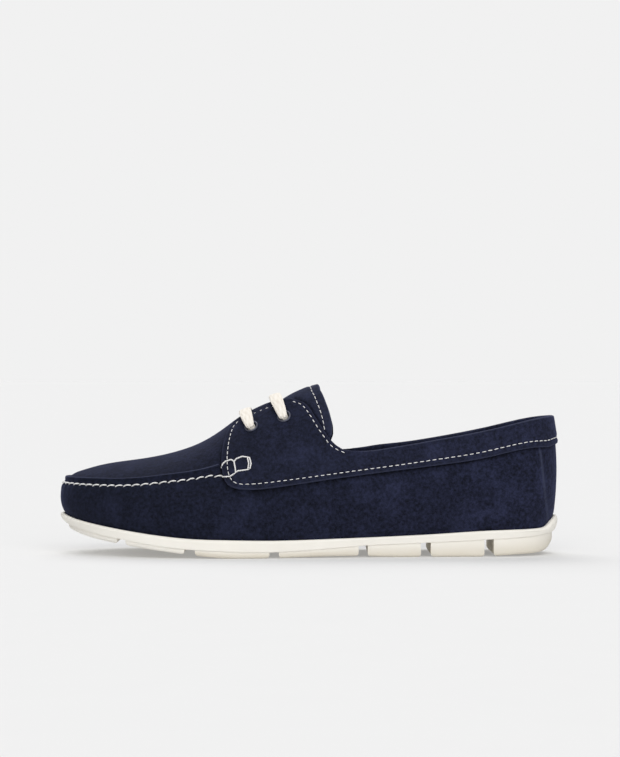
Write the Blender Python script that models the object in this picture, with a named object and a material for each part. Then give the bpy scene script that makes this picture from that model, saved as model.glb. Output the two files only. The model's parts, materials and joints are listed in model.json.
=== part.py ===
"""A left driving moccasin with a laced saddle.

Toe towards -X, heel towards +X, outer side of the foot towards -Y, floor at Z = 0.
Every size and table below is in millimetres. mesh_object() brings the points to metres.
"""

import math

import bmesh
import bpy
import numpy as np

MM = 0.001
LATERAL, MEDIAL = -1, 1

# Driving sizes
TOE_X = -144.9
HEEL_X = 145.4
TOE_ROUND = 64.0
TOE_POWER = 2.1
HEEL_ROUND = 38.0
HEEL_POWER = 2.1
GAP = 0.3
CURVED_GAP = 0.45
UPPER_WALL = 1.8
RIDGE_WIDTH = 2.5
SADDLE_WALL = 1.4
TONGUE_WALL = 2.6
INSOLE_WALL = 3.0
LIP_WALL = 2.7
HOLE_RADIUS = 3.6
EYELET_BORE = 2.9
EYELET_FLANGE = 4.1
FLANGE_HEIGHT = 0.5
LACE_HALF_HEIGHT = 0.95
# The raised seam: its height, the stretch over which it sinks under the saddle, and the share of
# the height that is left at its back, because the apron rises there.
RIDGE_HEIGHT = 2.3
RIDGE_FADE = (-41.0, -35.0)
RIDGE_BACK = 0.45
# How far the upper ends inside the saddle's edge and under the topline, as shares of up.
UPPER_TUCK = 0.03
TOPLINE_TUCK = 0.015
# The pads' lower corners, their step inside the rim, and how far they run up into the cup.
PAD_CORNER = 2.0
PAD_STEP = 0.9
PAD_ROOT = 0.8
# Shares of the way round, from toe to heel, and how many sections each stretch has.
STRETCHES = ((0.0, 0.4, 13), (0.4, 0.57, 11), (0.57, 0.8, 6), (0.8, 1.0, 8))


def table(columns, *rows):
    """A short table as one array for each named column."""
    return dict(zip(columns.split(), np.array(rows, float).T))


def smooth(knots, values):
    """The natural cubic curve through the rows of a table, as a function."""
    knots, values = np.asarray(knots, float), np.asarray(values, float)
    step = np.diff(knots)
    slope = np.diff(values) / step
    system, bend = np.eye(len(knots)), np.zeros(len(knots))
    for i in range(1, len(knots) - 1):
        system[i, i - 1 : i + 2] = step[i - 1], 2 * (step[i - 1] + step[i]), step[i]
        bend[i] = 6 * (slope[i] - slope[i - 1])
    bend = np.linalg.solve(system, bend)

    def value(at):
        at = np.clip(np.asarray(at, float), knots[0], knots[-1])
        i = np.clip(np.searchsorted(knots, at, side="right") - 1, 0, len(knots) - 2)
        before, after = at - knots[i], knots[i + 1] - at
        curve = (bend[i] * after**3 + bend[i + 1] * before**3) / (6 * step[i])
        curve += (values[i] / step[i] - bend[i] * step[i] / 6) * after
        curve += (values[i + 1] / step[i] - bend[i + 1] * step[i] / 6) * before
        return curve

    return value


# The sole's rim seen from above: its centre line and half its width, before the round ends.
PLAN = table(
    "x centre half",
    (-145, 8.0, 45.0),
    (-110, 5.0, 48.6),
    (-85, 1.8, 50.1),
    (-66, 0.2, 51.0),
    (-42, -1.7, 49.8),
    (-15, -3.4, 44.8),
    (15, -3.6, 39.8),
    (45, -2.2, 36.4),
    (75, -0.8, 35.0),
    (105, 0.0, 34.4),
    (145, 0.0, 33.5),
)

# The sole from the side: lip top, cup floor, groove roof, pad bottom, and how far the rim tucks under.
SOLE = table(
    "x lip floor roof tread undercut",
    (-145, 23.6, 21.4, 17.6, 16.8, 4.0),
    (-137, 21.3, 18.8, 16.0, 14.1, 2.6),
    (-129, 19.6, 17.1, 14.4, 11.7, 1.7),
    (-119, 17.8, 15.2, 12.4, 9.6, 1.2),
    (-107, 15.9, 13.3, 10.4, 7.5, 0.9),
    (-84, 12.8, 10.1, 6.6, 4.2, 0.8),
    (-67, 11.2, 8.5, 5.0, 2.0, 0.8),
    (-45, 10.5, 7.5, 3.9, 0.0, 0.8),
    (-22, 10.1, 7.0, 3.4, 0.0, 0.8),
    (7, 10.6, 7.4, 4.9, 0.7, 0.8),
    (30, 11.3, 8.5, 6.6, 0.7, 0.8),
    (52, 12.1, 9.6, 7.6, 0.0, 0.8),
    (76, 13.3, 10.8, 8.5, 0.0, 0.8),
    (100, 14.8, 12.2, 9.7, 0.0, 0.9),
    (121, 15.5, 13.0, 10.8, 1.2, 1.1),
    (134, 16.0, 13.5, 11.9, 2.2, 1.4),
    (138, 17.0, 13.8, 12.4, 3.8, 1.6),
    (141.5, 19.8, 14.1, 12.8, 7.3, 1.9),
    (145.4, 22.5, 14.4, 13.2, 11.8, 2.4),
)

# The through-grooves between the tread pads.
GROOVES = table(
    "x width",
    (-106.9, 5.1),
    (-67.0, 6.0),
    (-18.8, 5.4),
    (31.7, 5.2),
    (67.4, 5.7),
    (103.5, 5.4),
)

# The last, a row for each section. x is where the section leaves the sole. shift and seam place the
# moc seam, which runs on as the topline: how far it leans forward or back and its height, with inset
# its distance inside the rim. crest is where the section ends on the instep ridge. The angles are
# from upright: out at the foot of the wall, in at its top, and in where the apron starts.
LAST = table(
    "x shift seam inset crest foot top apron",
    (-145, 0.0, 42.4, 2.6, -133.0, 38, 36, 48),
    (-138, 0.0, 42.3, 4.4, -129.5, 36, 36, 52),
    (-125, -1.0, 42.3, 7.4, -121.5, 34, 38, 55),
    (-108, -3.0, 42.5, 9.8, -110.5, 34, 41, 57),
    (-91, -5.0, 43.5, 11.6, -98.0, 34, 43, 56),
    (-70, -9.0, 45.3, 13.4, -81.0, 33, 41, 52),
    (-47, -12.5, 48.0, 14.4, -64.0, 30, 38, 45),
    (-25, -17.0, 52.5, 13.8, -50.5, 26, 32, 34),
    (-4, -22.0, 56.5, 12.0, -36.5, 22, 27, 27),
    (12, -18.0, 59.5, 10.0, -19.0, 19, 23, 23),
    (28, -12.0, 61.2, 8.2, 4.0, 18, 19, 19),
    (38, -9.5, 60.2, 7.4, 22.0, 18, 17, 17),
    (50, -7.0, 61.5, 6.8, 40.0, 18, 14, 14),
    (75, -4.0, 66.3, 6.2, 66.0, 18, 12, 12),
    (100, -1.5, 71.4, 5.8, 95.0, 18, 11, 11),
    (125, 0.0, 77.1, 5.4, 120.0, 17, 12, 12),
    (138, 0.0, 79.5, 4.6, 130.0, 12, 11, 11),
    (145.4, 0.0, 80.4, 4.0, 134.0, 8, 11, 11),
)

# How much higher the topline is on the inner side.
INNER_RISE = table(
    "x rise", (5, 0.0), (18, -1.0), (28, -2.0), (36, -0.4), (46, 1.2), (58, 0.7), (80, 0.0), (100, 0.0)
)

# The instep ridge, which goes on upwards past the throat as the cone of the last.
CREST = table(
    "x z y",
    (-134, 47.6, 5.5),
    (-121, 51.3, 4.6),
    (-98, 54.9, 3.2),
    (-75, 59.8, 1.8),
    (-63, 64.3, 1.2),
    (-51, 71.4, 0.6),
    (-41.4, 78.4, 0.2),
    (-28, 86.2, 0.0),
    (-14, 93.2, 0.0),
    (7, 101.4, 0.0),
    (40, 112.0, 0.0),
    (134, 118.0, 0.0),
)

# The saddle and collar band from the side.
SADDLE_LOWER = table(
    "x z",
    (-47.7, 45.6),
    (-45.5, 42.1),
    (-41.5, 40.1),
    (-35.8, 39.2),
    (-21.6, 39.9),
    (-4.5, 42.2),
    (24.0, 46.2),
    (52.5, 49.8),
    (81.0, 53.4),
    (98.0, 56.0),
    (121.0, 61.1),
    (131.0, 62.4),
    (139.0, 62.4),
)
SADDLE_FRONT = table(
    "x z", (-47.7, 45.6), (-49.2, 51.5), (-49.4, 57.0), (-48.9, 63.0), (-47.6, 68.6), (-44.2, 76.6)
)
SADDLE_REAR = table(
    "x z", (-7.0, 89.8), (-2.6, 88.3), (1.4, 84.3), (4.8, 78.9), (8.1, 74.0), (11.6, 68.6), (16.0, 64.0)
)

# The facings' inner edges: the crest point that each is level with, and the half gap between them.
FACING = table("crest gap", (-39.0, 9.0), (-30.0, 9.0), (-21.0, 11.0), (-14.0, 13.0))

# The eyelets' places from the side.
EYELETS = {"front": (-32.6, 74.3), "rear": (-13.8, 80.1)}

# How far the tongue lies under the face of the last, along the crest, and where its border is.
TONGUE = table(
    "crest drop tuck low",
    (-52.0, 2.5, 1.2, 1.42),
    (-45.0, 2.8, 1.2, 1.36),
    (-38.0, 5.0, 1.2, 1.28),
    (-25.0, 4.6, 2.0, 1.20),
    (-14.0, 2.4, 4.6, 1.16),
    (-6.0, 1.7, 4.0, 1.13),
    (5.3, 2.1, 2.4, 1.12),
)
# Its free end from the side, below the top corner, and how deep under the last's face that is.
TONGUE_END = table("x z", (7.0, 95.4), (9.9, 89.5), (12.6, 82.0), (13.9, 75.5), (13.8, 71.0), (12.3, 67.3))
TONGUE_END_DEPTH = 3.4
TONGUE_SECTIONS = 13
TONGUE_COLUMNS = 8
THROAT_CREST = -40.0
INSOLE_SECTIONS = 30

# The lace from the crest to an eyelet: the share of the way, its lift off the last, half its width,
# and how far it lies towards the toe.
LACE_OVER = table(
    "share lift width ahead",
    (0.0, 1.2, 2.9, 1.1),
    (0.2, 1.8, 3.1, 1.2),
    (0.36, 3.1, 3.5, 1.3),
    (0.62, 3.7, 3.6, 1.1),
    (0.8, 4.1, 3.2, 0.8),
)
# The lace at an eyelet, from above it to under the upper: its middle up the section, outward,
# towards the toe and along the hidden run, how far its width turns, and half its width and height.
LACE_THROUGH = table(
    "back out ahead along turn width height",
    (1.0, 4.2, 0.4, 0.0, 0.0, 2.5, 1.25),
    (-0.5, 3.0, 0.1, 0.0, 0.0, 2.0, 1.6),
    (0.0, 1.2, 0.0, 0.0, 0.35, 2.1, 2.1),
    (0.0, -0.8, 0.0, 0.0, 2.0, 2.1, 1.9),
    (0.0, -2.5, 0.0, 0.6, 40.0, 2.2, 1.4),
    (0.0, -3.4, 0.0, 2.4, 40.0, 2.7, 1.0),
)
# The run inside between the eyelets: shares of the way, its depth, and half its width and height.
LACE_INSIDE = {"shares": (0.35, 0.5, 0.65), "depth": 3.35, "width": 3.0, "height": 0.95}


def column(source, name):
    return smooth(source["x"], source[name])


plan_centre, plan_half = column(PLAN, "centre"), column(PLAN, "half")
lip_top, cup_floor, groove_roof = (column(SOLE, name) for name in ("lip", "floor", "roof"))
pad_curve, rim_undercut = column(SOLE, "tread"), column(SOLE, "undercut")
seam_shift, seam_height, seam_inset = (column(LAST, name) for name in ("shift", "seam", "inset"))
crest_along, foot_angle, top_angle, apron_angle = (
    column(LAST, name) for name in ("crest", "foot", "top", "apron")
)
crest_height, crest_side = column(CREST, "z"), column(CREST, "y")
inner_rise = column(INNER_RISE, "rise")


def pad_bottom(x):
    """The tread, flat on the floor under the ball and the heel."""
    return np.maximum(pad_curve(x), 0)


# ---------------------------------------------------------------- the last
def station(around):
    """The place along the shoe of a section: around runs from 0 at the toe to 1 at the heel."""
    return TOE_X + (HEEL_X - TOE_X) * (1 - np.cos(np.pi * np.asarray(around, float))) / 2


def around_at(x):
    """The section that leaves the sole at x."""
    return np.arccos(1 - 2 * (np.asarray(x, float) - TOE_X) / (HEEL_X - TOE_X)) / np.pi


def round_end(distance, length, power):
    """1 along the side, falling to 0 round an end."""
    far = np.clip(1 - distance / length, 0, 1)
    return (1 - far**power) ** (1 / power)


def rim(around, side, inset=0.0):
    """The rim's outline, and its outward direction, both seen from above."""

    def point(at):
        x = station(at)
        ends = round_end(x - TOE_X, TOE_ROUND, TOE_POWER) * round_end(HEEL_X - x, HEEL_ROUND, HEEL_POWER)
        return np.stack([x, plan_centre(x) + side * plan_half(x) * ends], axis=-1)

    around = np.asarray(around, float)
    small = 1e-4
    along = point(np.minimum(around + small, 1)) - point(np.maximum(around - small, 0))
    along[..., 0] = np.where((around < small) | (around > 1 - small), 0, along[..., 0])
    outward = np.stack([-along[..., 1], along[..., 0]], axis=-1) * side
    outward /= np.linalg.norm(outward, axis=-1, keepdims=True)
    return point(around) - outward * np.asarray(inset)[..., None], outward


def unit(vectors):
    return vectors / np.linalg.norm(vectors, axis=-1, keepdims=True)


def spread(value):
    return np.asarray(value)[..., None]


def hermite(start, end, leave, arrive, t):
    """A cubic from start to end with these tangents."""
    t = spread(t)
    return (
        start * (2 * t**3 - 3 * t**2 + 1)
        + leave * (t**3 - 2 * t**2 + t)
        + end * (3 * t**2 - 2 * t**3)
        + arrive * (t**3 - t**2)
    )


def last(around, up, side):
    """A point on the upper's outer face, without the ridge of the seam.

    up runs from 0 at the lip of the sole, through 1 at the moc seam or the topline, to 2 at the crest.
    """
    around, up = np.broadcast_arrays(np.asarray(around, float), np.asarray(up, float))
    x = station(around)
    foot, outward = rim(around, side, LIP_WALL + GAP)
    foot = np.concatenate([foot, spread(lip_top(x) - GAP)], axis=-1)
    seam, _ = rim(around, side, seam_inset(x))
    seam = np.concatenate([seam, spread(seam_height(x) + inner_rise(x) * (side == MEDIAL))], axis=-1)
    seam[..., 0] += seam_shift(x)
    ridge_x = crest_along(x)
    crest = np.stack([ridge_x, crest_side(ridge_x), crest_height(ridge_x)], axis=-1)

    upward = unit(np.stack([seam_shift(x) / (seam[..., 2] - foot[..., 2]), 0 * x, 1 + 0 * x], axis=-1))
    inward = np.concatenate([-outward, spread(0 * x)], axis=-1)

    def heading(degrees):
        angle = spread(np.radians(degrees))
        return np.cos(angle) * upward + np.sin(angle) * inward

    slope = (crest_height(ridge_x + 1) - crest_height(ridge_x - 1)) / 2
    over = inward.copy()
    over[..., 2] = over[..., 0] * slope
    wall = np.linalg.norm(seam - foot, axis=-1, keepdims=True)
    apron = np.linalg.norm(crest - seam, axis=-1, keepdims=True)
    low = hermite(foot, seam, wall * heading(-foot_angle(x)), wall * heading(top_angle(x)), np.minimum(up, 1))
    high = hermite(seam, crest, apron * heading(apron_angle(x)), apron * over, np.maximum(up, 1) - 1)
    return np.where(spread(up <= 1), low, high)


def outward_normal(around, up, side):
    """The direction out of the last's face."""
    around, up = np.broadcast_arrays(np.asarray(around, float), np.asarray(up, float))
    around, up = np.clip(around, 0.012, 0.988), np.clip(up, 0.03, 1.95)
    along = last(around + 0.006, up, side) - last(around - 0.006, up, side)
    rise = last(around, up + 0.03, side) - last(around, up - 0.03, side)
    return unit(np.cross(along, rise)) * -side


def face(around, up, side, offset):
    """A point at this distance outside the last's face."""
    return last(around, up, side) + outward_normal(around, up, side) * spread(offset)


# ---------------------------------------------------------------- edges drawn from the side
SADDLE_FACE = CURVED_GAP + SADDLE_WALL
SIDE_PLACES = np.meshgrid(np.linspace(0.02, 0.99, 240), np.linspace(0.02, 1.95, 120), indexing="ij")
SIDE_VIEW = face(*SIDE_PLACES, LATERAL, SADDLE_FACE)


def place_on_last(x, z, offset=SADDLE_FACE):
    """The section and height (around, up) at which the face at this offset stands at (x, z) from the side."""
    wanted = np.stack([np.asarray(x, float), np.asarray(z, float)], axis=-1)
    away = SIDE_VIEW[..., [0, 2]] - wanted[..., None, None, :]
    nearest_place = np.linalg.norm(away, axis=-1).reshape(*wanted.shape[:-1], -1).argmin(axis=-1)
    found = np.stack([places.ravel()[nearest_place] for places in SIDE_PLACES], axis=-1)
    small = 1e-3
    for _ in range(6):
        here, along, rise = (
            face(found[..., 0] + a, found[..., 1] + u, LATERAL, offset)[..., [0, 2]]
            for a, u in ((0, 0), (small, 0), (0, small))
        )
        jacobian = np.stack([along - here, rise - here], axis=-1) / small
        found = found + np.linalg.solve(jacobian, (wanted - here)[..., None])[..., 0]
    return found


def section_of_crest(x):
    """The section whose top is at x on the crest."""
    arounds = np.linspace(0, 1, 2001)
    return np.interp(x, crest_along(station(arounds)), arounds)


def facing_point(crest_x, gap):
    """The place level with crest_x where the face is gap away from the middle."""
    around = section_of_crest(crest_x)
    ups = np.linspace(2, 1, 400)
    return around, np.interp(gap, np.abs(last(around, ups, LATERAL)[:, 1]), ups)


def smooth_run(points, count):
    """A smooth, evenly spaced run through these points."""
    points = np.array(points, float)
    run = np.append(0, np.cumsum(np.linalg.norm(np.diff(points, axis=0), axis=1)))
    at = np.linspace(0, run[-1], count)
    return np.stack([smooth(run, values)(at) for values in points.T], axis=1)


def drawn(line, count=60):
    """The places along a line that is drawn from the side."""
    return place_on_last(*smooth_run(np.stack([line["x"], line["z"]], axis=1), count).T)


def edge(*runs):
    """An edge on the last through these runs of places, as a function of the section."""
    around, up = np.concatenate(runs).T
    order = np.argsort(around, kind="stable")
    return lambda at: np.interp(at, around[order], up[order])


FRONT_PLACES = drawn(SADDLE_FRONT, 24)
FACING_PLACES = smooth_run([facing_point(*row) for row in zip(FACING["crest"], FACING["gap"])], 24)
REAR_PLACES = drawn(SADDLE_REAR, 24)
LOWER_PLACES = drawn(SADDLE_LOWER)
LOWER_PLACES = np.append(LOWER_PLACES, [(1.0, LOWER_PLACES[-1][1])], axis=0)
TOPLINE_START = around_at(32.0)
TOPLINE_PLACES = np.array([(TOPLINE_START, 1.0), (1.0, 1.0)])
saddle_top = edge(FRONT_PLACES, FACING_PLACES, REAR_PLACES, TOPLINE_PLACES)
saddle_lower = edge(LOWER_PLACES)
SADDLE_START = FRONT_PLACES[0][0]
THROAT = section_of_crest(THROAT_CREST)
SECTIONS = [np.linspace(start, end, count, endpoint=False) for start, end, count in STRETCHES]
SECTIONS = np.sort(np.concatenate([*SECTIONS, [THROAT, THROAT + 0.005, 1.0]]))
TONGUE_END_PLACES = place_on_last(TONGUE_END["x"], TONGUE_END["z"], -TONGUE_END_DEPTH)
TONGUE_END_PLACES = [(section_of_crest(TONGUE["crest"][-1]), 2.0), *TONGUE_END_PLACES]
TONGUE_END_AROUND, TONGUE_END_UP = np.array(TONGUE_END_PLACES[::-1]).T


# ---------------------------------------------------------------- mesh helpers
def clear_scene():
    for item in list(bpy.data.objects):
        bpy.data.objects.remove(item, do_unlink=True)


def material(name, colour, roughness, metallic=0.0):
    made = bpy.data.materials.new(name)
    made.use_nodes = True
    shader = made.node_tree.nodes["Principled BSDF"]
    shader.inputs["Base Color"].default_value = (*colour, 1.0)
    shader.inputs["Roughness"].default_value = roughness
    shader.inputs["Metallic"].default_value = metallic
    return made


def grid_faces(index):
    """The quads of a grid of vertex numbers."""
    return [
        (index[i, j], index[i + 1, j], index[i + 1, j + 1], index[i, j + 1])
        for i in range(index.shape[0] - 1)
        for j in range(index.shape[1] - 1)
    ]


def mesh_object(name, grids, finish=None):
    """One object from grids of points that share their edges."""
    points, faces, start = [], [], 0
    for grid in grids:
        grid = np.asarray(grid)
        faces += grid_faces(np.arange(grid.shape[0] * grid.shape[1]).reshape(grid.shape[:2]) + start)
        points.append(grid.reshape(-1, 3) * MM)
        start += grid.shape[0] * grid.shape[1]
    mesh = bpy.data.meshes.new(name)
    mesh.from_pydata(np.concatenate(points).tolist(), [], faces)
    shape = bmesh.new()
    shape.from_mesh(mesh)
    bmesh.ops.remove_doubles(shape, verts=shape.verts, dist=2e-6)
    bmesh.ops.dissolve_degenerate(shape, edges=shape.edges, dist=2e-6)
    bmesh.ops.recalc_face_normals(shape, faces=shape.faces)
    shape.to_mesh(mesh)
    shape.free()
    mesh.shade_smooth()
    mesh.set_sharp_from_angle(angle=math.radians(40))
    made = bpy.data.objects.new(name, mesh)
    bpy.context.scene.collection.objects.link(made)
    if finish:
        mesh.materials.append(finish)
    return made


def helper(made):
    """Keeps a cutter or a joined-in shape out of the render."""
    made.hide_render = True
    made.display_type = "WIRE"
    return made


def boolean(target, other, operation):
    change = target.modifiers.new(other.name, "BOOLEAN")
    change.operation = operation
    change.object = other
    change.solver = "EXACT"


def slab(outer, inner):
    """The six sides of a closed sheet between two matching grids."""
    edges = [np.stack([outer[k], inner[k]]) for k in (0, -1)]
    edges += [np.stack([outer[:, k], inner[:, k]]) for k in (0, -1)]
    return [outer, inner, *edges]


# ---------------------------------------------------------------- the upper
def wall_ups():
    """Places across a section: the wall, the seam's ridge, and the apron."""
    return np.concatenate([np.array([0, 0.12, 0.3, 0.5, 0.72, 0.9]), [1.0] * 4, [1.25, 1.5, 1.75, 2.0]])


WALL_POINTS = 6
INNER_UPS = np.array([0, 0.3, 0.6, 0.9, 1.15, 1.38, 1.6, 1.8, 2.0])


def ridge_height(x):
    """The raised seam, which sinks under the front of the saddle."""
    fade = np.clip((x - RIDGE_FADE[0]) / (RIDGE_FADE[1] - RIDGE_FADE[0]), 0, 1)
    return RIDGE_HEIGHT * (1 - fade**2 * (3 - 2 * fade))


def upper_top(arounds):
    """Where each section of the upper ends: at the crest, then 1 mm inside the saddle's edge."""
    inside = np.where(arounds > TOPLINE_START, 1 - TOPLINE_TUCK, saddle_top(arounds) - UPPER_TUCK)
    return np.where(arounds <= THROAT + 1e-6, 2.0, inside)


def join_sides(pair, closed):
    """Brings the two sides together where they meet: at the toe, the heel and along the closed crest."""
    outer, inner = pair
    for where in ((0, slice(None)), (-1, slice(None)), (closed, -1)):
        middle = (outer[where] + inner[where]) / 2
        outer[where] = inner[where] = middle
    return pair


def on_floor(arounds, side, inset, height):
    """Points over the cup's floor, this far inside the rim."""
    flat, _ = rim(arounds, side, inset)
    return np.concatenate([flat, spread(cup_floor(flat[..., 0]) + height)], axis=-1)


def upper_grids():
    arounds = SECTIONS
    closed = np.flatnonzero(arounds <= THROAT + 1e-6)
    at = spread(arounds)
    top = spread(upper_top(arounds)) / 2
    outer_sides, inner_sides = [], []
    for side in (LATERAL, MEDIAL):
        apron_length = np.linalg.norm(last(arounds, 2, side) - last(arounds, 1, side), axis=-1)
        ups = np.tile(wall_ups(), (len(arounds), 1))
        ups[:, WALL_POINTS + 1] += 0.12 * RIDGE_WIDTH / apron_length
        ups[:, WALL_POINTS + 2] += RIDGE_WIDTH / apron_length
        ups[:, WALL_POINTS + 3] += 1.35 * RIDGE_WIDTH / apron_length
        lift = np.zeros_like(ups)
        ridge = ridge_height(station(arounds))
        lift[:, WALL_POINTS + 1] = ridge
        lift[:, WALL_POINTS + 2] = RIDGE_BACK * ridge
        outer = last(at, ups * top, side) + np.array([0, 0, 1]) * spread(lift)
        inner = face(at, INNER_UPS * top, side, -UPPER_WALL)
        tuck = on_floor(arounds, side, LIP_WALL + 2 * GAP, GAP)
        tuck_inner = on_floor(arounds, side, LIP_WALL + 2 * GAP + UPPER_WALL, GAP)
        outer_sides.append(np.concatenate([tuck[:, None], outer], axis=1))
        inner_sides.append(np.concatenate([tuck_inner[:, None], inner], axis=1))
    join_sides(outer_sides, closed)
    join_sides(inner_sides, closed)
    grids = []
    for outer, inner in zip(outer_sides, inner_sides):
        throat = closed[-1]
        grids += [outer, inner, np.stack([outer[:, 0], inner[:, 0]])]
        grids.append(np.stack([outer[throat:, -1], inner[throat:, -1]]))
    return grids


# ---------------------------------------------------------------- saddle, tongue and insole
def saddle_sections():
    """Sections for the saddle, evenly along its top edge and closer together at the facing."""
    arounds = SADDLE_START + (1 - SADDLE_START) * np.linspace(0, 1, 400) ** 1.5
    line = last(arounds, saddle_top(arounds), LATERAL)
    run = np.append(0, np.cumsum(np.linalg.norm(np.diff(line, axis=0), axis=1)))
    facing_end = np.interp(TOPLINE_START, arounds, run)
    facing = np.interp(np.linspace(0, facing_end, 22, endpoint=False), run, arounds)
    return np.append(facing, SECTIONS[SECTIONS > TOPLINE_START])


def saddle_grids():
    arounds = saddle_sections()
    low, high = saddle_lower(arounds), saddle_top(arounds)
    high[0] = low[0] + 0.02
    share = np.linspace(0, 1, 7)
    ups = spread(low) + spread(high - low) * share
    layers = []
    for offset in (SADDLE_FACE, CURVED_GAP):
        near, far = (face(spread(arounds), ups, side, offset) for side in (LATERAL, MEDIAL))
        near[-1] = far[-1] = (near[-1] + far[-1]) / 2
        layers.append(np.concatenate([near, far[-2::-1]]))
    return slab(*layers)


def tongue_grids():
    crests = np.linspace(TONGUE["crest"][0], TONGUE["crest"][-1], TONGUE_SECTIONS)
    drop, tuck, low = (smooth(TONGUE["crest"], TONGUE[name])(crests) for name in ("drop", "tuck", "low"))
    ups = spread(low) + spread(2 - low) * np.linspace(0, 1, TONGUE_COLUMNS)
    end = np.interp(ups, TONGUE_END_UP, TONGUE_END_AROUND) - section_of_crest(crests[-1])
    arounds = spread(section_of_crest(crests)) + end * spread(np.linspace(0, 1, TONGUE_SECTIONS) ** 3)
    layers = []
    for extra in (0, TONGUE_WALL):
        under = spread(drop) + spread(tuck) * (2 - ups) + extra
        near, far = (face(arounds, ups, side, -under) for side in (LATERAL, MEDIAL))
        near[:, -1] = far[:, -1] = (near[:, -1] + far[:, -1]) / 2
        layers.append(np.concatenate([near, far[:, -2::-1]], axis=1))
    return slab(*layers)


def across(near, far, count=2):
    """A grid from one side's points straight across to the other's."""
    share = np.linspace(0, 1, count)[None, :, None]
    return near[:, None] * (1 - share) + far[:, None] * share


def insole_grids():
    arounds = np.linspace(0, 1, INSOLE_SECTIONS)
    inset = LIP_WALL + UPPER_WALL + 4 * GAP
    layers = [
        across(*(on_floor(arounds, side, inset, height) for side in (LATERAL, MEDIAL)))
        for height in (GAP + INSOLE_WALL, GAP)
    ]
    return slab(*layers)


# ---------------------------------------------------------------- the sole
def rim_ring(arounds, side, inset, height):
    flat, _ = rim(arounds, side, inset)
    return np.concatenate([flat, spread(height)], axis=-1)


def sole_plate_grids():
    """The rubber cup: floor, lip, rim and the roof of the grooves."""
    arounds = SECTIONS
    x = station(arounds)
    lip, roof, undercut = lip_top(x), groove_roof(x), rim_undercut(x)
    sides = []
    for side in (LATERAL, MEDIAL):
        rings = [
            on_floor(arounds, side, LIP_WALL, 0.0),
            rim_ring(arounds, side, 0 * x + LIP_WALL, lip - 0.6),
            rim_ring(arounds, side, 0 * x + LIP_WALL - 0.7, lip),
            rim_ring(arounds, side, 0 * x + 0.7, lip - 0.2),
            rim_ring(arounds, side, 0 * x, lip - 1.2),
        ]
        for share in (0.5, 1.0):
            tuck = undercut * share**1.3
            rings.append(rim_ring(arounds, side, tuck, lip + (roof - lip) * share * 0.94 - 0.1))
        rings.append(rim_ring(arounds, side, undercut + 0.5, roof))
        sides.append(np.stack(rings, axis=1))
    near, far = sides
    return [near, far, across(near[:, 0], far[:, 0]), across(near[:, -1], far[:, -1])]


def pad_radius(x):
    return np.minimum(PAD_CORNER, 0.75 * (groove_roof(x) - pad_bottom(x)))


def pad_ring(arounds, side, rise, inset):
    """One ring of a pad: inside the cup when rise is None, else so far round its lower corner."""
    x = station(arounds)
    flat, _ = rim(arounds, side, rim_undercut(x) + PAD_STEP + pad_radius(x) * inset)
    x = flat[:, 0]
    height = groove_roof(x) + PAD_ROOT if rise is None else pad_bottom(x) + pad_radius(x) * rise
    return np.concatenate([flat, spread(height)], axis=-1)


def pad_grids(start, end):
    """One tread pad, with its lower corners rounded."""
    count = 10 if start <= TOE_X or end >= HEEL_X else 6
    rings = []
    for rise, inset in ((None, 0.0), (1.0, 0.0), (0.3, 0.35), (0.0, 1.0)):
        low = TOE_X if start <= TOE_X else start + inset * PAD_CORNER
        high = HEEL_X if end >= HEEL_X else end - inset * PAD_CORNER
        arounds = np.linspace(around_at(low), around_at(high), count)
        rings.append([pad_ring(arounds, side, rise, inset) for side in (LATERAL, MEDIAL)])
    near, far = (np.stack([ring[k] for ring in rings], axis=1) for k in (0, 1))
    faces = [across(near[:, ring], far[:, ring]) for ring in (0, -1)]
    ends = [across(near[row], far[row]) for row in (0, -1)]
    return [near, far, *faces, *ends]


def make_sole(finish):
    sole = mesh_object("sole", sole_plate_grids(), finish)
    starts = [TOE_X, *(GROOVES["x"] + GROOVES["width"] / 2)]
    ends = [*(GROOVES["x"] - GROOVES["width"] / 2), HEEL_X]
    for number, (start, end) in enumerate(zip(starts, ends), 1):
        pad = helper(mesh_object(f"pad_{number}", pad_grids(start, end)))
        boolean(sole, pad, "UNION")
    return sole


# ---------------------------------------------------------------- eyelets and lace
def eyelet_frame(name, side):
    """The eyelet's middle on the last, and its directions: to the toe, down the section, and out."""
    around, up = place_on_last(*EYELETS[name])
    out = outward_normal(around, up, side)
    ahead = last(around - 0.01, up, side) - last(around + 0.01, up, side)
    ahead = unit(ahead - out * np.dot(ahead, out))
    return last(around, up, side), ahead, np.cross(out, ahead) * side, out


def ring_of(frame, radius, height, count):
    centre, ahead, down, out = frame
    angles = np.linspace(0, 2 * np.pi, count + 1)
    angles[-1] = 0
    return centre + radius * (spread(np.cos(angles)) * ahead + spread(np.sin(angles)) * down) + height * out


def turned(name, frame, profile, count, finish=None):
    """A round piece turned about the frame's outward axis from a closed (radius, height) profile."""
    grid = np.stack([ring_of(frame, radius, height, count) for radius, height in profile])
    return mesh_object(name, [grid], finish)


def hole_cutter(name, frame):
    profile = ((0, -6), (HOLE_RADIUS, -6), (HOLE_RADIUS, 6), (0, 6))
    return helper(turned(f"hole_{name}", frame, profile, 20))


def make_eyelet(name, frame, finish):
    seat = CURVED_GAP + SADDLE_WALL + GAP
    barrel = HOLE_RADIUS - GAP
    profile = (
        (EYELET_BORE, -UPPER_WALL),
        (barrel, -UPPER_WALL),
        (barrel, seat),
        (EYELET_FLANGE, seat),
        (EYELET_FLANGE - 0.15, seat + 0.7 * FLANGE_HEIGHT),
        (EYELET_FLANGE - 0.6, seat + FLANGE_HEIGHT),
        (EYELET_BORE + 0.15, seat + 0.6 * FLANGE_HEIGHT),
        (EYELET_BORE, -UPPER_WALL),
    )
    return turned(name, frame, profile, 14, finish)


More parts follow.
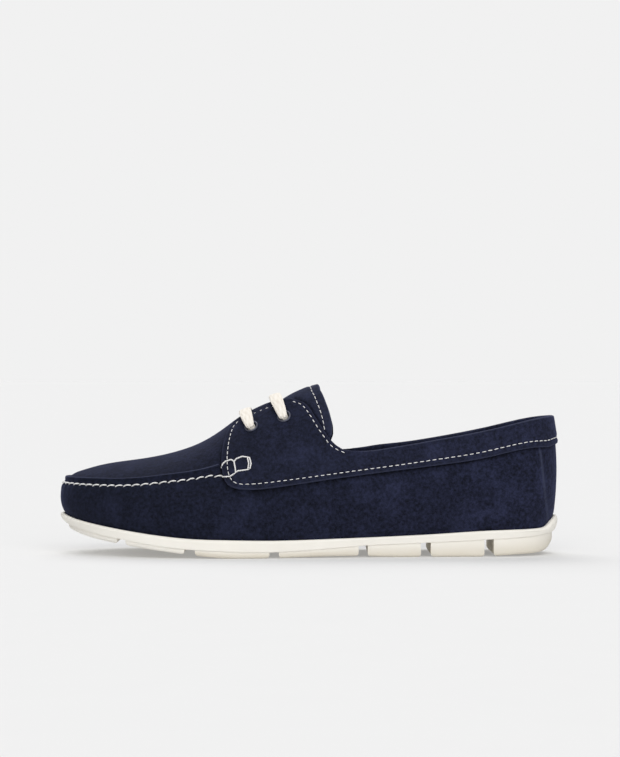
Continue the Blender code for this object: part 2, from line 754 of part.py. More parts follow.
def lace_corner(name, side):
    """The lace from the crest over the facing, down through one eyelet and on to the hidden run.

    Each row is a middle point, the direction of its width, and half its width and height.
    """
    centre, ahead, down, out = eyelet_frame(name, side)
    around, up = place_on_last(*EYELETS[name])
    way = 1 if name == "front" else -1
    rows = []
    for share, lift, width, shift in zip(*LACE_OVER.values()):
        middle = face(around, 2 - (2 - up) * share, side, lift) + ahead * shift
        rows.append((middle, ahead, width, LACE_HALF_HEIGHT))
    for back, outward, shift, along, turn, width, height in zip(*LACE_THROUGH.values()):
        middle = centre - down * back + out * outward + ahead * (shift - along * way)
        rows.append((middle, unit(ahead + turn * way * down), width, height))
    return rows


def hidden_run(side):
    """The lace inside, between the front eyelet and the rear one."""
    front, rear = (np.array(place_on_last(*EYELETS[name])) for name in ("front", "rear"))
    rows = []
    for share in LACE_INSIDE["shares"]:
        around, up = front + (rear - front) * share
        below = last(around, up - 0.03, side) - last(around, up + 0.03, side)
        middle = face(around, up, side, -LACE_INSIDE["depth"])
        rows.append((middle, unit(below), LACE_INSIDE["width"], LACE_INSIDE["height"]))
    return rows


def lace_route():
    """The closed route: front bar, inner side, rear bar, outer side."""
    front_out, front_in = lace_corner("front", LATERAL), lace_corner("front", MEDIAL)
    rear_out, rear_in = lace_corner("rear", LATERAL), lace_corner("rear", MEDIAL)
    route = front_in + hidden_run(MEDIAL) + rear_in[::-1]
    route += rear_out[1:] + hidden_run(LATERAL)[::-1] + front_out[:0:-1]
    return route


def closed_curve(values, samples):
    """A smooth closed curve through rows of values, with so many samples to each row."""
    before, here = np.roll(values, 1, axis=0), values
    after, later = np.roll(values, -1, axis=0), np.roll(values, -2, axis=0)
    made = []
    for t in np.arange(samples) / samples:
        leave, arrive = (after - before) / 2, (later - here) / 2
        made.append(hermite(here, after, leave, arrive, np.full(len(values), t)))
    return np.stack(made, axis=1).reshape(-1, values.shape[1])


def make_lace(finish, samples=2, corners=6):
    route = lace_route()
    widths = [row[1] for row in route]
    for i in range(1, len(widths)):
        if np.dot(widths[i], widths[i - 1]) < 0:
            widths[i] = -widths[i]
    values = np.array([(*row[0], *width, row[2], row[3]) for row, width in zip(route, widths)])
    values = closed_curve(values, samples)
    middle, half_width, half_height = values[:, :3], values[:, 6], values[:, 7]
    along = unit(np.roll(middle, -1, axis=0) - np.roll(middle, 1, axis=0))
    wide = values[:, 3:6]
    wide = unit(wide - along * np.sum(wide * along, axis=1, keepdims=True))
    thick = np.cross(along, wide)
    angles = np.linspace(0, 2 * np.pi, corners + 1)
    angles[-1] = 0
    ring = [
        middle
        + wide * spread(half_width * np.sign(np.cos(a)) * abs(np.cos(a)) ** 0.8)
        + thick * spread(half_height * np.sign(np.sin(a)) * abs(np.sin(a)) ** 0.8)
        for a in angles
    ]
    grid = np.stack(ring, axis=1)
    return mesh_object("lace", [np.concatenate([grid, grid[:1]])], finish)


# ---------------------------------------------------------------- the shoe
def main():
    clear_scene()
    suede = material("navy_suede", (0.017, 0.020, 0.036), 0.9)
    rubber = material("cream_rubber", (0.80, 0.77, 0.70), 0.6)
    lining = material("navy_lining", (0.020, 0.022, 0.035), 0.7)
    cotton = material("cream_cotton", (0.86, 0.82, 0.74), 0.9)
    metal = material("dark_metal", (0.10, 0.10, 0.12), 0.4, 1.0)

    make_sole(rubber)
    upper = mesh_object("upper", upper_grids(), suede)
    saddle = mesh_object("saddle_collar", saddle_grids(), suede)
    mesh_object("tongue", tongue_grids(), suede)
    mesh_object("insole", insole_grids(), lining)
    for name in EYELETS:
        for side, where in ((LATERAL, "outer"), (MEDIAL, "inner")):
            frame = eyelet_frame(name, side)
            cutter = hole_cutter(f"{name}_{where}", frame)
            boolean(upper, cutter, "DIFFERENCE")
            boolean(saddle, cutter, "DIFFERENCE")
            make_eyelet(f"eyelet_{name}_{where}", frame, metal)
    make_lace(cotton)


main()
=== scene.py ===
# %% [markdown]
# # A laced driving moccasin, piece by piece
#
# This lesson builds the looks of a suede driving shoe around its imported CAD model. The CAD solids
# already have the right shape, but only a few thousand faces, so each visible piece is made again
# here from the same rules with far more of them. Then come the things that a solid leaves out:
# stitches, gathers, the braid of the lace, the nap of the suede.
#
# Lengths in the tables are in millimetres, because a shoemaker thinks in them. One function,
# `mesh_piece`, turns them into metres when a mesh is made.

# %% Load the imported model
import json
import math

import bmesh
import bpy
import numpy as np
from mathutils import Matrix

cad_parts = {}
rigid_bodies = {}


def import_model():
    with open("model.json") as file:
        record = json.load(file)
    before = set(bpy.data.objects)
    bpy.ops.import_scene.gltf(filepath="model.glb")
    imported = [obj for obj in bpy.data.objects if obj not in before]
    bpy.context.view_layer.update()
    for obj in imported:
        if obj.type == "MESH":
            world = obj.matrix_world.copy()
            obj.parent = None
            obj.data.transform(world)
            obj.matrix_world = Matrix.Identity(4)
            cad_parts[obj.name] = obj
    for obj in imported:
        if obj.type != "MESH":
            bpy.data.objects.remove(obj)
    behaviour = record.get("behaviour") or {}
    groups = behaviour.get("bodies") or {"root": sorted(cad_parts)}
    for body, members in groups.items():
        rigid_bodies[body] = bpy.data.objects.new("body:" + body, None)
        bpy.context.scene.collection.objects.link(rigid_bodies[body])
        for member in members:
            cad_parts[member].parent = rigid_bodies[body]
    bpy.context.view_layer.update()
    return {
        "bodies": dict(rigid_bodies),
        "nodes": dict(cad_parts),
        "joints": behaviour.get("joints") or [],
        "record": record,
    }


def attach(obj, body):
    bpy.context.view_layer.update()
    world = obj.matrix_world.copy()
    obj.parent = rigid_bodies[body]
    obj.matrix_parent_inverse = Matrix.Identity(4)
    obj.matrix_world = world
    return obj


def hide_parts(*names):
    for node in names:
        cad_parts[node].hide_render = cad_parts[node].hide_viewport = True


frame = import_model()
MM = 0.001
LATERAL, MEDIAL = -1, 1
SIDES = {LATERAL: "outer", MEDIAL: "inner"}


# %% [markdown]
# ## The camera
#
# The camera comes first, so that every later step can be looked at. It stands level with the
# middle of the shoe's height, square to its outer side and 1.5 m away, with a long lens. A long
# lens from far away keeps the heel and the toe at nearly the same scale, as in a catalogue.

# %% The camera
CAMERA_PLACE = (1.17, -1500.0, 101.8)
SENSOR_MM, LENS_MM = 36.0, 122.25
# How far the camera sees, in metres: past the far end of the floor.
SEEN_METRES = 300.0


def in_scene(name, data):
    """A new object in the scene for a camera, a lamp or a mesh."""
    made = bpy.data.objects.new(name, data)
    bpy.context.scene.collection.objects.link(made)
    return made


camera = in_scene("camera", bpy.data.cameras.new("camera"))
camera.location = [v * MM for v in CAMERA_PLACE]
camera.rotation_euler = (math.radians(90), 0, 0)
camera.data.sensor_width, camera.data.lens = SENSOR_MM, LENS_MM
camera.data.clip_end = SEEN_METRES
bpy.context.scene.camera = camera
print("camera", LENS_MM, "mm lens at", CAMERA_PLACE)

# %% [markdown]
# ## Short tables and smooth curves
#
# A shoe has no flat or round faces to measure from. What a last maker keeps is a set of sections:
# at this place along the shoe the wall is so high, leans so much and so on. Each table below has
# a row for each section and a named column for each size. A natural cubic spline through a column
# gives the size anywhere between, and it is smooth to the eye because its bend never jumps.

# %% Tables and splines
def table(columns, *rows):
    """A short table as one array for each named column."""
    return dict(zip(columns.split(), np.array(rows, float).T))


def smooth(knots, values):
    """The natural cubic curve through the rows of a table, as a function."""
    knots, values = np.asarray(knots, float), np.asarray(values, float)
    step = np.diff(knots)
    slope = np.diff(values) / step
    system, bend = np.eye(len(knots)), np.zeros(len(knots))
    for i in range(1, len(knots) - 1):
        system[i, i - 1 : i + 2] = step[i - 1], 2 * (step[i - 1] + step[i]), step[i]
        bend[i] = 6 * (slope[i] - slope[i - 1])
    bend = np.linalg.solve(system, bend)

    def value(at):
        at = np.clip(np.asarray(at, float), knots[0], knots[-1])
        i = np.clip(np.searchsorted(knots, at, side="right") - 1, 0, len(knots) - 2)
        before, after = at - knots[i], knots[i + 1] - at
        curve = (bend[i] * after**3 + bend[i + 1] * before**3) / (6 * step[i])
        curve += (values[i] / step[i] - bend[i] * step[i] / 6) * after
        curve += (values[i + 1] / step[i] - bend[i + 1] * step[i] / 6) * before
        return curve

    return value


def column(source, name, along="x"):
    """The smooth curve of one column of a table along another."""
    return smooth(source[along], source[name])


lean = column(table("x lean", (0, 0.0), (50, 4.0), (100, 0.0)), "lean")
print("a curve through 0, 4 and 0 is, half way between:", round(float(lean(25)), 2))

# %% [markdown]
# ## The sizes of this shoe
#
# These are the same tables as the CAD model's, because the pieces here have to lie on its solids.
# `PLAN` is the sole seen from above, `SOLE` and `GROOVES` are the sole from the side, `LAST` and
# `CREST` are the sections of the upper, and the lists of points are edges drawn from the side.

# %% Sizes of the walls and the sole
TOE_X, HEEL_X = -144.9, 145.4
TOE_ROUND, HEEL_ROUND, END_POWER = 64.0, 38.0, 2.1
GAP, CURVED_GAP = 0.3, 0.45
UPPER_WALL, SADDLE_WALL, TONGUE_WALL, INSOLE_WALL, LIP_WALL = 1.8, 1.4, 2.6, 3.0, 2.7
HOLE_RADIUS, EYELET_BORE, EYELET_FLANGE = 3.6, 2.9, 4.1
SADDLE_FACE = CURVED_GAP + SADDLE_WALL

# The sole's rim seen from above: its centre line and half its width, before the round ends.
PLAN = table(
    "x centre half",
    (-145, 8.0, 45.0),
    (-110, 5.0, 48.6),
    (-85, 1.8, 50.1),
    (-66, 0.2, 51.0),
    (-42, -1.7, 49.8),
    (-15, -3.4, 44.8),
    (15, -3.6, 39.8),
    (45, -2.2, 36.4),
    (75, -0.8, 35.0),
    (105, 0.0, 34.4),
    (145, 0.0, 33.5),
)

# The sole from the side: lip top, cup floor, groove roof, pad bottom, and how far the rim tucks under.
SOLE = table(
    "x lip floor roof tread undercut",
    (-145, 23.6, 21.4, 17.6, 16.8, 4.0),
    (-137, 21.3, 18.8, 16.0, 14.1, 2.6),
    (-129, 19.6, 17.1, 14.4, 11.7, 1.7),
    (-119, 17.8, 15.2, 12.4, 9.6, 1.2),
    (-107, 15.9, 13.3, 10.4, 7.5, 0.9),
    (-84, 12.8, 10.1, 6.6, 4.2, 0.8),
    (-67, 11.2, 8.5, 5.0, 2.0, 0.8),
    (-45, 10.5, 7.5, 3.9, 0.0, 0.8),
    (-22, 10.1, 7.0, 3.4, 0.0, 0.8),
    (7, 10.6, 7.4, 4.9, 0.7, 0.8),
    (30, 11.3, 8.5, 6.6, 0.7, 0.8),
    (52, 12.1, 9.6, 7.6, 0.0, 0.8),
    (76, 13.3, 10.8, 8.5, 0.0, 0.8),
    (100, 14.8, 12.2, 9.7, 0.0, 0.9),
    (121, 15.5, 13.0, 10.8, 1.2, 1.1),
    (134, 16.0, 13.5, 11.9, 2.2, 1.4),
    (138, 17.0, 13.8, 12.4, 3.8, 1.6),
    (141.5, 19.8, 14.1, 12.8, 7.3, 1.9),
    (145.4, 22.5, 14.4, 13.2, 11.8, 2.4),
)

# The through-grooves between the tread pads.
GROOVES = table(
    "x width", (-106.9, 5.1), (-67.0, 6.0), (-18.8, 5.4), (31.7, 5.2), (67.4, 5.7), (103.5, 5.4)
)
print("the sole:", HEEL_X - TOE_X, "mm at the rim, with", len(GROOVES["x"]), "grooves")

# %% Sizes of the last
# The last, a row for each section. x is where the section leaves the sole. shift and seam place the
# moc seam, which runs on as the topline: how far it leans forward or back and its height, with inset
# its distance inside the rim. crest is where the section ends on the instep ridge. The angles are
# from upright: out at the foot of the wall, in at its top, and in where the apron starts.
LAST = table(
    "x shift seam inset crest foot top apron",
    (-145, 0.0, 42.4, 2.6, -133.0, 38, 36, 48),
    (-138, 0.0, 42.3, 4.4, -129.5, 36, 36, 52),
    (-125, -1.0, 42.3, 7.4, -121.5, 34, 38, 55),
    (-108, -3.0, 42.5, 9.8, -110.5, 34, 41, 57),
    (-91, -5.0, 43.5, 11.6, -98.0, 34, 43, 56),
    (-70, -9.0, 45.3, 13.4, -81.0, 33, 41, 52),
    (-47, -12.5, 48.0, 14.4, -64.0, 30, 38, 45),
    (-25, -17.0, 52.5, 13.8, -50.5, 26, 32, 34),
    (-4, -22.0, 56.5, 12.0, -36.5, 22, 27, 27),
    (12, -18.0, 59.5, 10.0, -19.0, 19, 23, 23),
    (28, -12.0, 61.2, 8.2, 4.0, 18, 19, 19),
    (38, -9.5, 60.2, 7.4, 22.0, 18, 17, 17),
    (50, -7.0, 61.5, 6.8, 40.0, 18, 14, 14),
    (75, -4.0, 66.3, 6.2, 66.0, 18, 12, 12),
    (100, -1.5, 71.4, 5.8, 95.0, 18, 11, 11),
    (125, 0.0, 77.1, 5.4, 120.0, 17, 12, 12),
    (138, 0.0, 79.5, 4.6, 130.0, 12, 11, 11),
    (145.4, 0.0, 80.4, 4.0, 134.0, 8, 11, 11),
)

# How much higher the topline is on the inner side.
INNER_RISE = table(
    "x rise", (5, 0.0), (18, -1.0), (28, -2.0), (36, -0.4), (46, 1.2), (58, 0.7), (80, 0.0), (100, 0.0)
)

# The instep ridge, which goes on upwards past the throat as the cone of the last.
CREST = table(
    "x z y",
    (-134, 47.6, 5.5), (-121, 51.3, 4.6), (-98, 54.9, 3.2), (-75, 59.8, 1.8), (-63, 64.3, 1.2),
    (-51, 71.4, 0.6), (-41.4, 78.4, 0.2), (-28, 86.2, 0.0), (-14, 93.2, 0.0), (7, 101.4, 0.0),
    (40, 112.0, 0.0), (134, 118.0, 0.0),
)
print("sections in the last's table:", len(LAST["x"]))

# %% Edges of the saddle and the tongue
# The saddle and collar band from the side.
SADDLE_LOWER = table(
    "x z",
    (-47.7, 45.6), (-45.5, 42.1), (-41.5, 40.1), (-35.8, 39.2), (-21.6, 39.9), (-4.5, 42.2),
    (24.0, 46.2), (52.5, 49.8), (81.0, 53.4), (98.0, 56.0), (121.0, 61.1), (131.0, 62.4),
    (139.0, 62.4),
)
SADDLE_FRONT = table(
    "x z", (-47.7, 45.6), (-49.2, 51.5), (-49.4, 57.0), (-48.9, 63.0), (-47.6, 68.6), (-44.2, 76.6)
)
SADDLE_REAR = table(
    "x z", (-7.0, 89.8), (-2.6, 88.3), (1.4, 84.3), (4.8, 78.9), (8.1, 74.0), (11.6, 68.6), (16.0, 64.0)
)

# Where the saddle becomes the collar band.
TOPLINE_X = 32.0

# The facings' inner edges: the crest point that each is level with, and the half gap between them.
FACING = table("crest gap", (-39.0, 9.0), (-30.0, 9.0), (-21.0, 11.0), (-14.0, 13.0))

# The eyelets' places from the side.
EYELETS = {"front": (-32.6, 74.3), "rear": (-13.8, 80.1)}

# How far the tongue lies under the face of the last, along the crest, and where its border is.
TONGUE = table(
    "crest drop tuck low",
    (-52.0, 2.5, 1.2, 1.42),
    (-45.0, 2.8, 1.2, 1.36),
    (-38.0, 5.0, 1.2, 1.28),
    (-25.0, 4.6, 2.0, 1.20),
    (-14.0, 2.4, 4.6, 1.16),
    (-6.0, 1.7, 4.0, 1.13),
    (5.3, 2.1, 2.4, 1.12),
)
# Its free end from the side, below the top corner, and how deep under the last's face that is.
TONGUE_END = table("x z", (7.0, 95.4), (9.9, 89.5), (12.6, 82.0), (13.9, 75.5), (13.8, 71.0), (12.3, 67.3))
TONGUE_END_DEPTH = 3.4
THROAT_CREST = -40.0
print("eyelets from the side in mm:", EYELETS)

# %% Sizes of the lace
# The lace from the crest to an eyelet: the share of the way, its lift off the last, half its width,
# and how far it lies towards the toe.
LACE_OVER = table(
    "share lift width ahead",
    (0.0, 1.2, 2.9, 1.1),
    (0.2, 1.8, 3.1, 1.2),
    (0.36, 3.1, 3.5, 1.3),
    (0.62, 3.7, 3.6, 1.1),
    (0.8, 4.1, 3.2, 0.8),
)
# The lace at an eyelet, from above it to under the upper: its middle up the section, outward,
# towards the toe and along the hidden run, how far its width turns, and half its width and height.
LACE_THROUGH = table(
    "back out ahead along turn width height",
    (1.0, 4.2, 0.4, 0.0, 0.0, 2.5, 1.25),
    (-0.5, 3.0, 0.1, 0.0, 0.0, 2.0, 1.6),
    (0.0, 1.2, 0.0, 0.0, 0.35, 2.1, 2.1),
    (0.0, -0.8, 0.0, 0.0, 2.0, 2.1, 1.9),
    (0.0, -2.5, 0.0, 0.6, 40.0, 2.2, 1.4),
    (0.0, -3.4, 0.0, 2.4, 40.0, 2.7, 1.0),
)
# The run inside between the eyelets: shares of the way, its depth, and half its width and height.
LACE_INSIDE = {"shares": (0.35, 0.5, 0.65), "depth": 3.35, "width": 3.0, "height": 0.95}
print("rows of the lace at each corner:", len(LACE_OVER["share"]) + len(LACE_THROUGH["back"]))

# %% [markdown]
# ## The last
#
# The last is the wooden foot that a shoe is made on, and the upper is its skin. Here it is one
# function of three numbers: how far `around` from the toe to the heel, how far `up` from the sole
# through the moccasin seam (1) to the ridge of the instep (2), and which `side`. Between those
# three lines each section is two cubic arcs whose end directions come from the table. A sculpted
# mesh could give the shape too, but with a function every seam, stitch and edge can be placed on
# the surface exactly, and each piece can be made at any fineness.

# %% The last as a function
plan_centre, plan_half = column(PLAN, "centre"), column(PLAN, "half")
lip_top, cup_floor, groove_roof = (column(SOLE, name) for name in ("lip", "floor", "roof"))
pad_curve, rim_undercut = column(SOLE, "tread"), column(SOLE, "undercut")
seam_shift, seam_height, seam_inset = (column(LAST, name) for name in ("shift", "seam", "inset"))
crest_along, apron_angle = column(LAST, "crest"), column(LAST, "apron")
foot_angle, top_angle = column(LAST, "foot"), column(LAST, "top")
crest_height, crest_side = column(CREST, "z"), column(CREST, "y")
inner_rise = column(INNER_RISE, "rise")


def spread(value):
    """The same numbers, one for each point, ready to multiply its x, y and z."""
    return np.asarray(value)[..., None]


def length(vectors):
    return np.linalg.norm(vectors, axis=-1)


def unit(vectors):
    return vectors / spread(length(vectors))


def raised(flat, height):
    """Points seen from above, lifted to this height."""
    return np.concatenate([flat, spread(height)], axis=-1)


def pad_bottom(x):
    """The tread, flat on the floor under the ball and the heel."""
    return np.maximum(pad_curve(x), 0)


def station(around):
    """The place along the shoe of a section: around runs from 0 at the toe to 1 at the heel."""
    return TOE_X + (HEEL_X - TOE_X) * (1 - np.cos(np.pi * np.asarray(around, float))) / 2


def around_at(x):
    """The section that leaves the sole at x."""
    return np.arccos(1 - 2 * (np.asarray(x, float) - TOE_X) / (HEEL_X - TOE_X)) / np.pi


def round_end(distance, reach, power):
    """1 along the side, falling to 0 round an end."""
    far = np.clip(1 - distance / reach, 0, 1)
    return (1 - far**power) ** (1 / power)


def rim(around, side, inset):
    """The rim's outline, and its outward direction, both seen from above."""

    def point(at):
        x = station(at)
        ends = round_end(x - TOE_X, TOE_ROUND, END_POWER) * round_end(HEEL_X - x, HEEL_ROUND, END_POWER)
        return np.stack([x, plan_centre(x) + side * plan_half(x) * ends], axis=-1)

    around = np.asarray(around, float)
    small = 1e-4
    along = point(np.minimum(around + small, 1)) - point(np.maximum(around - small, 0))
    along[..., 0] = np.where((around < small) | (around > 1 - small), 0, along[..., 0])
    outward = unit(np.stack([-along[..., 1], along[..., 0]], axis=-1) * side)
    return point(around) - outward * spread(inset), outward


print("the rim's half width at the ball in mm:", round(float(plan_half(-66)), 1))

# %% One section of the last
def hermite(start, end, leave, arrive, t):
    """A cubic from start to end, with its tangents where it leaves and arrives."""
    t = spread(t)
    return (
        start * (2 * t**3 - 3 * t**2 + 1)
        + leave * (t**3 - 2 * t**2 + t)
        + end * (3 * t**2 - 2 * t**3)
        + arrive * (t**3 - t**2)
    )


def last(around, up, side):
    """A point on the upper's outer face, without the ridge of the seam.

    up runs from 0 at the lip of the sole, through 1 at the moc seam or the topline, to 2 at the crest.
    """
    around, up = np.broadcast_arrays(np.asarray(around, float), np.asarray(up, float))
    x = station(around)
    foot, outward = rim(around, side, LIP_WALL + GAP)
    foot = raised(foot, lip_top(x) - GAP)
    seam = raised(rim(around, side, seam_inset(x))[0], seam_height(x) + inner_rise(x) * (side == MEDIAL))
    seam[..., 0] += seam_shift(x)
    ridge_x = crest_along(x)
    crest = np.stack([ridge_x, crest_side(ridge_x), crest_height(ridge_x)], axis=-1)

    upward = unit(np.stack([seam_shift(x) / (seam[..., 2] - foot[..., 2]), 0 * x, 1 + 0 * x], axis=-1))
    inward = raised(-outward, 0 * x)

    def heading(degrees):
        angle = spread(np.radians(degrees))
        return np.cos(angle) * upward + np.sin(angle) * inward

    slope = (crest_height(ridge_x + 1) - crest_height(ridge_x - 1)) / 2
    over = inward.copy()
    over[..., 2] = over[..., 0] * slope
    wall, apron = spread(length(seam - foot)), spread(length(crest - seam))
    low = hermite(foot, seam, wall * heading(-foot_angle(x)), wall * heading(top_angle(x)), np.minimum(up, 1))
    high = hermite(seam, crest, apron * heading(apron_angle(x)), apron * over, np.maximum(up, 1) - 1)
    return np.where(spread(up <= 1), low, high)


# How far apart, around and up, the places lie that give the direction out of the face.
NORMAL_STEPS = (0.006, 0.03)


def outward_normal(around, up, side):
    """The direction out of the last's face."""
    step, lift = NORMAL_STEPS
    around, up = np.clip(around, 2 * step, 1 - 2 * step), np.clip(up, lift, 1.95)
    along = last(around + step, up, side) - last(around - step, up, side)
    rise = last(around, up + lift, side) - last(around, up - lift, side)
    return unit(np.cross(along, rise)) * -side


def face(around, up, side, offset):
    """A point at this distance outside the last's face."""
    return last(around, up, side) + outward_normal(around, up, side) * spread(offset)


print("the instep over the ball in mm:", last(around_at(-66.0), 2, LATERAL).round(1))

# %% [markdown]
# ## Edges drawn from the side
#
# The saddle's outline is easiest to give as it is seen from the side. `place_on_last` finds which
# section and height stand at such a point, by Newton's steps from the nearest of a coarse grid.
# The other side of the shoe then uses the same section and height.

# %% Places on the last
NEWTON_STEPS = 6
SIDE_PLACES = np.meshgrid(np.linspace(0.02, 0.99, 240), np.linspace(0.02, 1.95, 120), indexing="ij")
SIDE_VIEW = face(*SIDE_PLACES, LATERAL, SADDLE_FACE)


def place_on_last(x, z, offset=SADDLE_FACE):
    """The place (around, up) where the face at this offset stands at (x, z), seen from the side."""
    wanted = np.stack([np.asarray(x, float), np.asarray(z, float)], axis=-1)
    away = length(SIDE_VIEW[..., [0, 2]] - wanted[..., None, None, :])
    closest = away.reshape(*wanted.shape[:-1], -1).argmin(axis=-1)
    found = np.stack([places.ravel()[closest] for places in SIDE_PLACES], axis=-1)
    small = 1e-3
    for _ in range(NEWTON_STEPS):
        here, along, rise = (
            face(found[..., 0] + a, found[..., 1] + u, LATERAL, offset)[..., [0, 2]]
            for a, u in ((0, 0), (small, 0), (0, small))
        )
        jacobian = np.stack([along - here, rise - here], axis=-1) / small
        found = found + np.linalg.solve(jacobian, (wanted - here)[..., None])[..., 0]
    return found


print("the front eyelet's place, around and up:", place_on_last(*EYELETS["front"]).round(3))

# %% Edges on the last
def section_of_crest(x):
    """The section whose top is at x on the crest."""
    arounds = np.linspace(0, 1, 2001)
    return np.interp(x, crest_along(station(arounds)), arounds)


def facing_point(crest_x, gap):
    """The place level with crest_x where the face is gap away from the middle."""
    around = section_of_crest(crest_x)
    ups = np.linspace(2, 1, 400)
    return around, np.interp(gap, np.abs(last(around, ups, LATERAL)[:, 1]), ups)


def run_along(points):
    """How far along a line each of its points is."""
    return np.append(0, np.cumsum(length(np.diff(points, axis=0))))


def smooth_run(points, count):
    """A smooth, evenly spaced run through these points."""
    points = np.array(points, float)
    run = run_along(points)
    at = np.linspace(0, run[-1], count)
    return np.stack([smooth(run, values)(at) for values in points.T], axis=1)


def drawn(line, count=90):
    """The places along a line that is drawn from the side."""
    return place_on_last(*smooth_run(np.stack([line["x"], line["z"]], axis=1), count).T)


def edge(*runs):
    """An edge on the last through these runs of places, as a function of the section."""
    around, up = np.concatenate(runs).T
    order = np.argsort(around, kind="stable")
    return lambda at: np.interp(at, around[order], up[order])


def facing_run(crests, gaps, count):
    """A smooth run of places beside the throat."""
    return smooth_run([facing_point(*row) for row in zip(crests, gaps)], count)


EDGE_POINTS = 24
FRONT_PLACES = drawn(SADDLE_FRONT, EDGE_POINTS)
FACING_PLACES = facing_run(FACING["crest"], FACING["gap"], EDGE_POINTS)
REAR_PLACES = drawn(SADDLE_REAR, EDGE_POINTS)
LOWER_PLACES = drawn(SADDLE_LOWER)
LOWER_PLACES = np.append(LOWER_PLACES, [(1.0, LOWER_PLACES[-1][1])], axis=0)
TOPLINE_START = around_at(TOPLINE_X)
TOPLINE_PLACES = np.array([(TOPLINE_START, 1.0), (1.0, 1.0)])
saddle_top = edge(FRONT_PLACES, FACING_PLACES, REAR_PLACES, TOPLINE_PLACES)
saddle_lower = edge(LOWER_PLACES)
SADDLE_START = FRONT_PLACES[0][0]
THROAT = section_of_crest(THROAT_CREST)
print("around, at the throat and where the saddle starts:", THROAT.round(3), SADDLE_START.round(3))

# %% [markdown]
# ## From grids of points to a piece
#
# Nearly every piece here is a sheet bent into a closed shell, so nearly every mesh starts as a few
# grids of points that share their borders. `mesh_piece` joins the grids, merges the borders, drops
# faces with no area, and turns all faces outwards. A `mark` for each point goes along as an
# attribute, so that a finish can tell a raw edge from the open surface.

# %% Making a mesh
SHARP = math.radians(50)
MERGE = 1e-6


def grid_faces(rows, columns, start):
    """The quads of a grid of numbered points."""
    index = np.arange(rows * columns).reshape(rows, columns) + start
    quads = np.stack([index[:-1, :-1], index[1:, :-1], index[1:, 1:], index[:-1, 1:]], axis=-1)
    return quads.reshape(-1, 4)


def triangles(mesh):
    return sum(len(face.vertices) - 2 for face in mesh.polygons)


def smooth_faces(mesh):
    """Smooth shading, broken where the faces meet at a sharp angle."""
    mesh.shade_smooth()
    mesh.set_sharp_from_angle(angle=SHARP)


def mesh_piece(name, grids, marks=None):
    """A closed shell from grids of points in millimetres.

    Each grid may have marks: a number for each point, or one for all of them.
    """
    points, faces, start = [], [], 0
    for grid in grids:
        faces.append(grid_faces(*grid.shape[:2], start))
        points.append(grid.reshape(-1, 3) * MM)
        start += grid.shape[0] * grid.shape[1]
    mesh = bpy.data.meshes.new(name)
    mesh.from_pydata(np.concatenate(points).tolist(), [], np.concatenate(faces).tolist())
    if marks is not None:
        layer = mesh.attributes.new("mark", "FLOAT", "POINT")
        filled = [np.broadcast_to(mark, grid.shape[:2]).ravel() for mark, grid in zip(marks, grids)]
        layer.data.foreach_set("value", np.concatenate(filled).astype(np.float32))
    shape = bmesh.new()
    shape.from_mesh(mesh)
    bmesh.ops.remove_doubles(shape, verts=shape.verts, dist=MERGE)
    bmesh.ops.dissolve_degenerate(shape, edges=shape.edges, dist=MERGE)
    bmesh.ops.recalc_face_normals(shape, faces=shape.faces)
    open_edges = sum(1 for line in shape.edges if len(line.link_faces) != 2)
    shape.to_mesh(mesh)
    shape.free()
    smooth_faces(mesh)
    print(f"{name}: {triangles(mesh)} triangles, {open_edges} open edges")
    return in_scene(name, mesh)


# %% Changing, naming and measuring a piece
ROOT = "root"
NEAREST_BLOCKS = 40


def apply_modifiers(piece):
    """Makes what the modifiers give the piece's own mesh, and removes them."""
    graph = bpy.context.evaluated_depsgraph_get()
    made = bpy.data.meshes.new_from_object(piece.evaluated_get(graph), depsgraph=graph)
    piece.modifiers.clear()
    piece.data = made


def combine(target, other, operation):
    """Joins another mesh to the target or cuts it out, and drops the other."""
    change = target.modifiers.new("combine", "BOOLEAN")
    change.operation, change.solver, change.object = operation, "EXACT", other
    apply_modifiers(target)
    smooth_faces(target.data)
    bpy.data.objects.remove(other, do_unlink=True)
    print(f"{target.name} combined: {triangles(target.data)} triangles")


def settle(piece, slot, finish=None, *nodes):
    """Gives a piece its finish, and says which CAD nodes it stands for. The slot is not used."""
    if finish:
        piece.data.materials.clear()
        piece.data.materials.append(finish)
    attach(piece, ROOT)
    if nodes:
        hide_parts(*nodes)


def slab(outer, inner):
    """The six sides of a closed sheet between two matching grids."""
    edges = [np.stack([outer[k], inner[k]]) for k in (0, -1)]
    edges += [np.stack([outer[:, k], inner[:, k]]) for k in (0, -1)]
    return [outer, inner, *edges]


def sheet_piece(name, faces):
    """A closed sheet, given as its outer face and its inner one.

    Each face is two sides, which meet along their last row. Each side is its points and its marks.
    """
    layers = []
    for (near, near_marks), (far, far_marks) in faces:
        near[-1] = (near[-1] + far[-1]) / 2
        pairs = ((near, far), (near_marks, far_marks))
        layers.append([np.append(one, other[-2::-1], axis=0) for one, other in pairs])
    return mesh_piece(name, *(slab(*pair) for pair in zip(*layers)))


def nearest(points, line):
    """How far each point is from the nearest point of a line, in blocks to save memory."""
    blocks = np.array_split(points.reshape(-1, points.shape[-1]), NEAREST_BLOCKS)
    runs = [length(block[:, None] - line).min(axis=1) for block in blocks]
    return np.concatenate(runs).reshape(points.shape[:-1])


def bump_at(distance, width):
    """1 at no distance, falling smoothly to nothing a few widths away."""
    return np.exp(-((distance / width) ** 2))


def swell(distance, size):
    """A bump given by its height, the distance at which it stands, and its width."""
    height, place, width = size
    return height * bump_at(distance - place, width)


def ease(value, start, end):
    """0 before start, 1 after end, with a smooth step between."""
    t = np.clip((value - start) / (end - start), 0, 1)
    return t * t * (3 - 2 * t)


def rounded(off, width):
    """How deep a round edge has fallen, as a share, at this distance in from it."""
    return 1 - np.sqrt(1 - np.clip(1 - off / width, 0, 1) ** 2)


